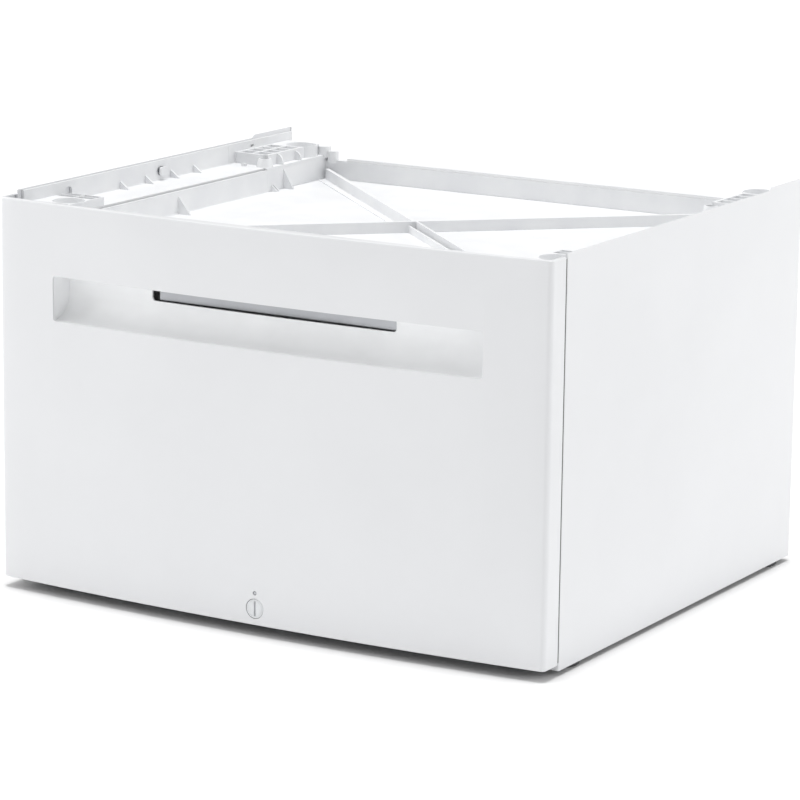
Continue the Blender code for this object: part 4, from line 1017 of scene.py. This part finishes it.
def hoop(sign, root, foot, y, base, height, width=2 * MM):
    """A rib like a quarter of an ellipse: full height at root, down to the base at foot."""
    points = [(sign * root, base - SKIN / 2), (sign * foot, base - SKIN / 2)]
    for k in range(9):
        angle = math.pi / 2 * k / 8
        reach = (foot - root) * math.cos(angle)
        points.append((sign * (root + reach), base + height * math.sin(angle)))
    return slab(points, "Y", y - width / 2, y + width / 2)


def ring(centre, inner, outer, low, high):
    """A short tube on the Z axis."""
    profile = [(inner, low), (outer, low), (outer, high), (inner, high), (inner, low)]
    return turned(profile, "Z", (*centre, 0.0), 40)


def disc(centre, radius, low, high):
    """A round plug on the Z axis."""
    return turned([(0, low), (radius, low), (radius, high), (0, high)], "Z", (*centre, 0.0), 40)


def cells(x_lines, y_lines, low, high, web=RIB):
    """Cutters that leave a grid of ribs: one block between each two neighbouring lines."""
    made = []
    for x0, x1 in zip(x_lines, x_lines[1:]):
        for y0, y1 in zip(y_lines, y_lines[1:]):
            x_low, x_high = sorted((x0, x1))
            start = (x_low + web / 2, y0 + web / 2, low)
            end = (x_high - web / 2, y1 - web / 2, high)
            made.append(block(start, end))
    return made


print("the tray's floor is", round((RIM_TOP - TRAY_FLOOR) / MM, 1), "mm below the shelves' rims")

# %% [markdown]
# ### The shelves
#
# An angle with an upright rim along the outside. At its front end a block rises to carry the
# machine's front foot, with a ring of wall round the dish and ribs across the rest. Two rounded
# holes pierce the rim, and a screw goes through one of them into the side panel.

# %% Side shelves
def shelf(sign):
    """One shelf moulding."""
    outline = [
        (sign * SHELF_INNER, SHELF_BOTTOM),
        (sign * SHELF_OUTER, SHELF_BOTTOM),
        (sign * SHELF_OUTER, RIM_TOP),
        (sign * SHELF_WALL, RIM_TOP),
        (sign * SHELF_WALL, SHELF_TOP),
        (sign * SHELF_INNER, SHELF_TOP),
    ]
    solids = [slab(outline, "Y", TOP_FRONT_Y, shelf_high.y, {4: 1.5 * MM})]
    root, foot = SHELF_WALL + SKIN / 2, SHELF_WALL - 10 * MM
    for y in (-56 * MM, -12 * MM, 33 * MM, 74 * MM):
        solids.append(gusset(sign, root, foot, y, SHELF_TOP, 9 * MM))

    block_end = TOP_FRONT_Y + 70 * MM
    centre = (sign * SOCKET_X, FRONT_SOCKET_Y)
    dish = FRONT_BLOCK_TOP - 6 * MM
    low, high = (TOP_FRONT_Y, SHELF_BOTTOM), (block_end, FRONT_BLOCK_TOP)
    solids.append(sided(sign, SHELF_INNER, root, low, high))
    solids.append(ring(centre, SOCKET_RADIUS, SOCKET_RADIUS + RIB, SHELF_BOTTOM, FRONT_BLOCK_TOP))
    cuts = [disc(centre, SOCKET_RADIUS, dish, RIM_TOP)]
    inner, outer = SHELF_INNER, SHELF_WALL
    middle = (inner + outer) / 2
    x_lines = [sign * x for x in (inner + RIB / 2, middle, outer)]
    front_lines = [TOP_FRONT_Y + RIB / 2, FRONT_SOCKET_Y - SOCKET_RADIUS - RIB]
    back_start = FRONT_SOCKET_Y + SOCKET_RADIUS + RIB
    back_lines = [back_start, (back_start + block_end) / 2, block_end - RIB / 2]
    cell_floor = SHELF_TOP + 1 * MM
    cuts += cells(x_lines, front_lines, cell_floor, RIM_TOP)
    cuts += cells(x_lines, back_lines, cell_floor, RIM_TOP)
    for y in (FRONT_SOCKET_Y + 40 * MM, 15 * MM):
        hole = slab(
            [(y - 6 * MM, SHELF_TOP + 5 * MM), (y + 6 * MM, SHELF_TOP + 5 * MM)]
            + [(y + 6 * MM, SHELF_TOP + 14 * MM), (y - 6 * MM, SHELF_TOP + 14 * MM)],
            "X",
            *sorted((sign * (SHELF_WALL - 2 * MM), sign * (SHELF_OUTER + 2 * MM))),
            {corner: 4.2 * MM for corner in range(4)},
            steps=5,
        )
        cuts.append(hole)
    return fused(solids, cuts)


for side, sign in SIDES:
    piece(f"shelf_moulding_{side}", shelf(sign), "white_moulding", "cabinet", [f"top_shelf_{side}"])
print("shelves done")

# %% [markdown]
# ### Screw caps
#
# One screw on each side ties the shelf's rim to the side panel. A rounded push-on cap hides its
# head, so that nothing catches a cloth.

# %% Screw caps
CAP = 2 * MM
CAP_HALF_LENGTH = 6 * MM
CAP_HALF_HEIGHT = 4.2 * MM
for side, sign in SIDES:
    screw_low, screw_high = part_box(f"side_screw_{side}")
    middle = (screw_low + screw_high) / 2
    head = screw_low.x if sign > 0 else screw_high.x
    cap_outline = [
        (middle.y - CAP_HALF_LENGTH, middle.z - CAP_HALF_HEIGHT),
        (middle.y + CAP_HALF_LENGTH, middle.z - CAP_HALF_HEIGHT),
        (middle.y + CAP_HALF_LENGTH, middle.z + CAP_HALF_HEIGHT),
        (middle.y - CAP_HALF_LENGTH, middle.z + CAP_HALF_HEIGHT),
    ]
    rounds = {corner: 2 * MM for corner in range(4)}
    reach = sorted((head - sign * CAP, head - sign * 0.02 * MM))
    cap = slab(cap_outline, "X", *reach, rounds, steps=4)
    piece(f"screw_cap_{side}", cap, "white_moulding", "cabinet", bevel=0.4 * MM)
print("screw caps done")

# %% [markdown]
# ## The drip tray
#
# A shallow tub with two ribs that cross from corner to corner. One of them is doubled over its
# front half, where the load is highest, and runs beside a lower twin. The corners are filleted as a
# moulder needs, and a few gussets hold the side walls upright.

# %% Drip tray
TRAY_RIB_HEIGHT = 11 * MM
CROSS = (0.0, 20 * MM)


def rib_between(start, end, offset, width, base, height):
    """A straight rib from start to end, moved sideways by offset."""
    start, end = Vector(start), Vector(end)
    along = (end - start).normalized()
    aside = Vector((-along.y, along.x))
    near, far = start + aside * offset, end + aside * offset
    half = aside * width / 2
    outline = [tuple(corner) for corner in (near - half, far - half, far + half, near + half)]
    return slab(outline, "Z", base, base + height)


def tray_shape():
    """The tub with its crossed ribs; the rear moulding closes it behind the seam."""
    outline = [
        (-TRAY_OUTER, TRAY_BOTTOM),
        (TRAY_OUTER, TRAY_BOTTOM),
        (TRAY_OUTER, TRAY_TOP),
        (TRAY_HALF, TRAY_TOP),
        (TRAY_HALF, TRAY_FLOOR),
        (-TRAY_HALF, TRAY_FLOOR),
        (-TRAY_HALF, TRAY_TOP),
        (-TRAY_OUTER, TRAY_TOP),
    ]
    seam = SEAM_Y - 0.1 * MM
    solids = [slab(outline, "Y", TRAY_FRONT, seam, {4: 2 * MM, 5: 2 * MM})]
    floor_low = (-TRAY_OUTER, seam - SKIN, TRAY_BOTTOM)
    solids.append(block(floor_low, (TRAY_OUTER, tray_high.y, TRAY_FLOOR)))
    wall_low = (-TRAY_OUTER, TRAY_FRONT, TRAY_BOTTOM)
    solids.append(block(wall_low, (TRAY_OUTER, TRAY_FRONT + SKIN, TRAY_TOP)))
    base = TRAY_FLOOR - SKIN / 2
    height = TRAY_RIB_HEIGHT + SKIN / 2
    inset = 4 * MM
    front, rear = TRAY_FRONT + SKIN + inset, REAR_WALL_Y - inset
    side = TRAY_HALF - inset
    left_rear, right_rear = (-side, rear), (side, rear)
    left_front, right_front = (-side, front), (side, front)
    solids.append(rib_between(left_rear, CROSS, 0, 4 * MM, base, height))
    solids.append(rib_between(left_front, CROSS, 0, 4 * MM, base, height))
    solids.append(rib_between(CROSS, right_rear, 0, 4 * MM, base, height))
    solids.append(rib_between(CROSS, right_front, 1.5 * MM, 2 * MM, base, height))
    solids.append(rib_between(CROSS, right_front, -6 * MM, 2 * MM, base, height - 4 * MM))
    solids.append(rib_between(left_rear, CROSS, -11 * MM, 1.2 * MM, base, SKIN / 2 + 1 * MM))
    for _, sign in SIDES:
        root = TRAY_HALF + SKIN / 2
        solids.append(gusset(sign, root, TRAY_HALF - 14 * MM, -24 * MM, TRAY_FLOOR, 20 * MM))
    return fused(solids)


piece("drip_tray", tray_shape(), "white_moulding", "cabinet", ["tray"])
print("tray done")

# %% [markdown]
# ## The rear moulding
#
# It carries the shelves on past the seam and closes the tray at the back. On each side a block
# rises for the machine's rear foot. Its top is a grid of open cells with a dish behind them, and a
# row of curved ribs ties the block's inner face to the tray's wall. A screw boss stands at its
# inner front corner.

# %% Rear moulding
WEB = 3 * MM
BLOCK_INNER = 256 * MM
LEDGE_LOW = 26 * MM
LEDGE_STEP = 3 * MM
BIG_GUSSET_Y = SEAM_Y + 32 * MM


def rear_side(sign):
    """The solids and the cuts of one side of the rear moulding."""
    base = TRAY_FLOOR + 0.1 * MM
    outline = [
        (sign * TRAY_HALF, base),
        (sign * TRAY_OUTER, base),
        (sign * TRAY_OUTER, SHELF_BOTTOM),
        (sign * SHELF_OUTER, SHELF_BOTTOM),
        (sign * SHELF_OUTER, RIM_TOP),
        (sign * SHELF_WALL, RIM_TOP),
        (sign * SHELF_WALL, SHELF_TOP),
        (sign * TRAY_HALF, SHELF_TOP),
    ]
    solids = [slab(outline, "Y", SEAM_Y, rear_high.y, {6: 1.5 * MM})]
    start, end = rear_high.y - 111.5 * MM, rear_high.y - 9.2 * MM
    top = REAR_BLOCK_TOP
    into_wall = SHELF_WALL + SKIN / 2
    solids.append(sided(sign, BLOCK_INNER, into_wall, (start, SHELF_BOTTOM), (end, top)))
    centre = (sign * SOCKET_X, REAR_SOCKET_Y)
    solids.append(disc(centre, SOCKET_RADIUS + 1 * MM, SHELF_BOTTOM, top))

    boss = (sign * (BLOCK_INNER + 1 * MM), start - 3 * MM)
    cone = [(0, SHELF_BOTTOM), (9 * MM, SHELF_BOTTOM), (9 * MM, SHELF_TOP), (6.5 * MM, top - 3 * MM)]
    solids.append(turned(cone + [(0, top - 3 * MM)], "Z", (*boss, 0.0)))
    root, foot = BLOCK_INNER + 1 * MM, TRAY_HALF + 0.5 * MM
    rise = top - SHELF_TOP
    solids.append(hoop(sign, root, foot, BIG_GUSSET_Y, SHELF_TOP, rise - 0.5 * MM, 2.5 * MM))
    for y in (BIG_GUSSET_Y + 35 * MM, end - 1.2 * MM):
        solids.append(hoop(sign, root, foot, y, SHELF_TOP, rise - 2 * MM, 2 * MM))
    tall = TRAY_TOP - TRAY_FLOOR
    wall = TRAY_HALF + SKIN / 2
    lean = TRAY_HALF - 12 * MM
    solids.append(gusset(sign, wall, lean, BIG_GUSSET_Y, TRAY_FLOOR, tall, width=2.5 * MM))
    for y in (SEAM_Y + 8 * MM, SEAM_Y + 12 * MM):
        solids.append(gusset(sign, wall, TRAY_HALF - 7 * MM, y, TRAY_FLOOR, 8 * MM, width=1.2 * MM))
    tab = (sign * (TRAY_HALF + 3 * MM), rear_high.y - 7 * MM)
    solids.append(disc(tab, 7 * MM, SHELF_BOTTOM, top - 2.5 * MM))
    lobe = (sign * (TRAY_HALF - 7 * MM), rear_high.y - 6 * MM)
    solids.append(disc(lobe, 6 * MM, TRAY_TOP - 6 * MM, top - 7 * MM))
    peg_low, peg_high = (start - 14 * MM, SHELF_TOP - 1 * MM), (start - 11 * MM, SHELF_TOP + 3 * MM)
    solids.append(sided(sign, 274 * MM, 279 * MM, peg_low, peg_high))

    cuts = [disc(centre, SOCKET_RADIUS, top - 6 * MM, RIM_TOP)]
    cuts.append(disc(boss, 5 * MM, SHELF_TOP + 1 * MM, RIM_TOP))
    inner, outer = BLOCK_INNER + WEB / 2, SHELF_WALL - WEB / 2
    x_lines = [sign * x for x in (inner, (inner + outer) / 2, outer)]
    first, last = start + WEB / 2, REAR_SOCKET_Y - SOCKET_RADIUS - WEB / 2
    count = 4
    y_lines = [first + (last - first) * k / count for k in range(count + 1)]
    cuts += cells(x_lines, y_lines, top - 7 * MM, RIM_TOP, WEB)
    x_low, x_high = sorted((sign * (SHELF_WALL - 2 * MM), sign * (SHELF_OUTER + 2 * MM)))
    window_y, window_z = start + 30 * MM, top + 1.5 * MM
    cuts.append(block((x_low, window_y, window_z), (x_high, window_y + 6 * MM, window_z + 2.5 * MM)))
    return solids, cuts


def rear_moulding():
    """The rear wall with its stepped ledge, and both sides."""
    low_top = TRAY_TOP - LEDGE_STEP
    into_side = TRAY_HALF + SKIN / 2
    base = TRAY_FLOOR + 0.1 * MM
    rear_y = rear_high.y
    solids = [block((-into_side, REAR_WALL_Y, base), (into_side, tray_high.y, low_top))]
    solids.append(block((-into_side, REAR_WALL_Y, low_top - SKIN), (into_side, rear_y, low_top)))
    raised = TRAY_HALF - LEDGE_LOW
    ledge_low = (-raised, REAR_WALL_Y, low_top - SKIN / 2)
    solids.append(block(ledge_low, (raised, rear_y, TRAY_TOP)))
    cuts = []
    for _, sign in SIDES:
        more, holes = rear_side(sign)
        solids += more
        cuts += holes
    return fused(solids, cuts)


piece("rear_moulding", rear_moulding(), "white_moulding", "cabinet", ["top_frame_rear"])
print("rear moulding done")

# %% [markdown]
# ## The rest of the frame
#
# The posts, rails, slides, feet, springs and screws already have the right shape in the CAD model. Each
# that is still shown gets rounded edges and its finish, and keeps its own body, so it moves as before.

# %% Refined CAD pieces
shown = {node for node, obj in frame["nodes"].items() if not obj.hide_render}
for node in sorted(shown):
    refined(node)
print(len(shown), "CAD pieces refined")

# %% [markdown]
# ## The floor
#
# A pale matt floor runs far past the picture's edges, so that only the contact shadow shows. It rides
# on none of the pedestal's bodies.

# %% Floor
FLOOR_REACH = 14.0
floor_mesh = bmesh.new()
bmesh.ops.create_grid(floor_mesh, x_segments=1, y_segments=1, size=FLOOR_REACH)
floor_data = bpy.data.meshes.new("floor")
floor_mesh.to_mesh(floor_data)
floor_mesh.free()
floor = bpy.data.objects.new("floor", floor_data)
floor_material, _ = new_material("pale_floor", "FDFDFD", 0.6)
floor_data.materials.append(floor_material)
bpy.context.scene.collection.objects.link(floor)
print("the floor reaches", FLOOR_REACH, "m each way")
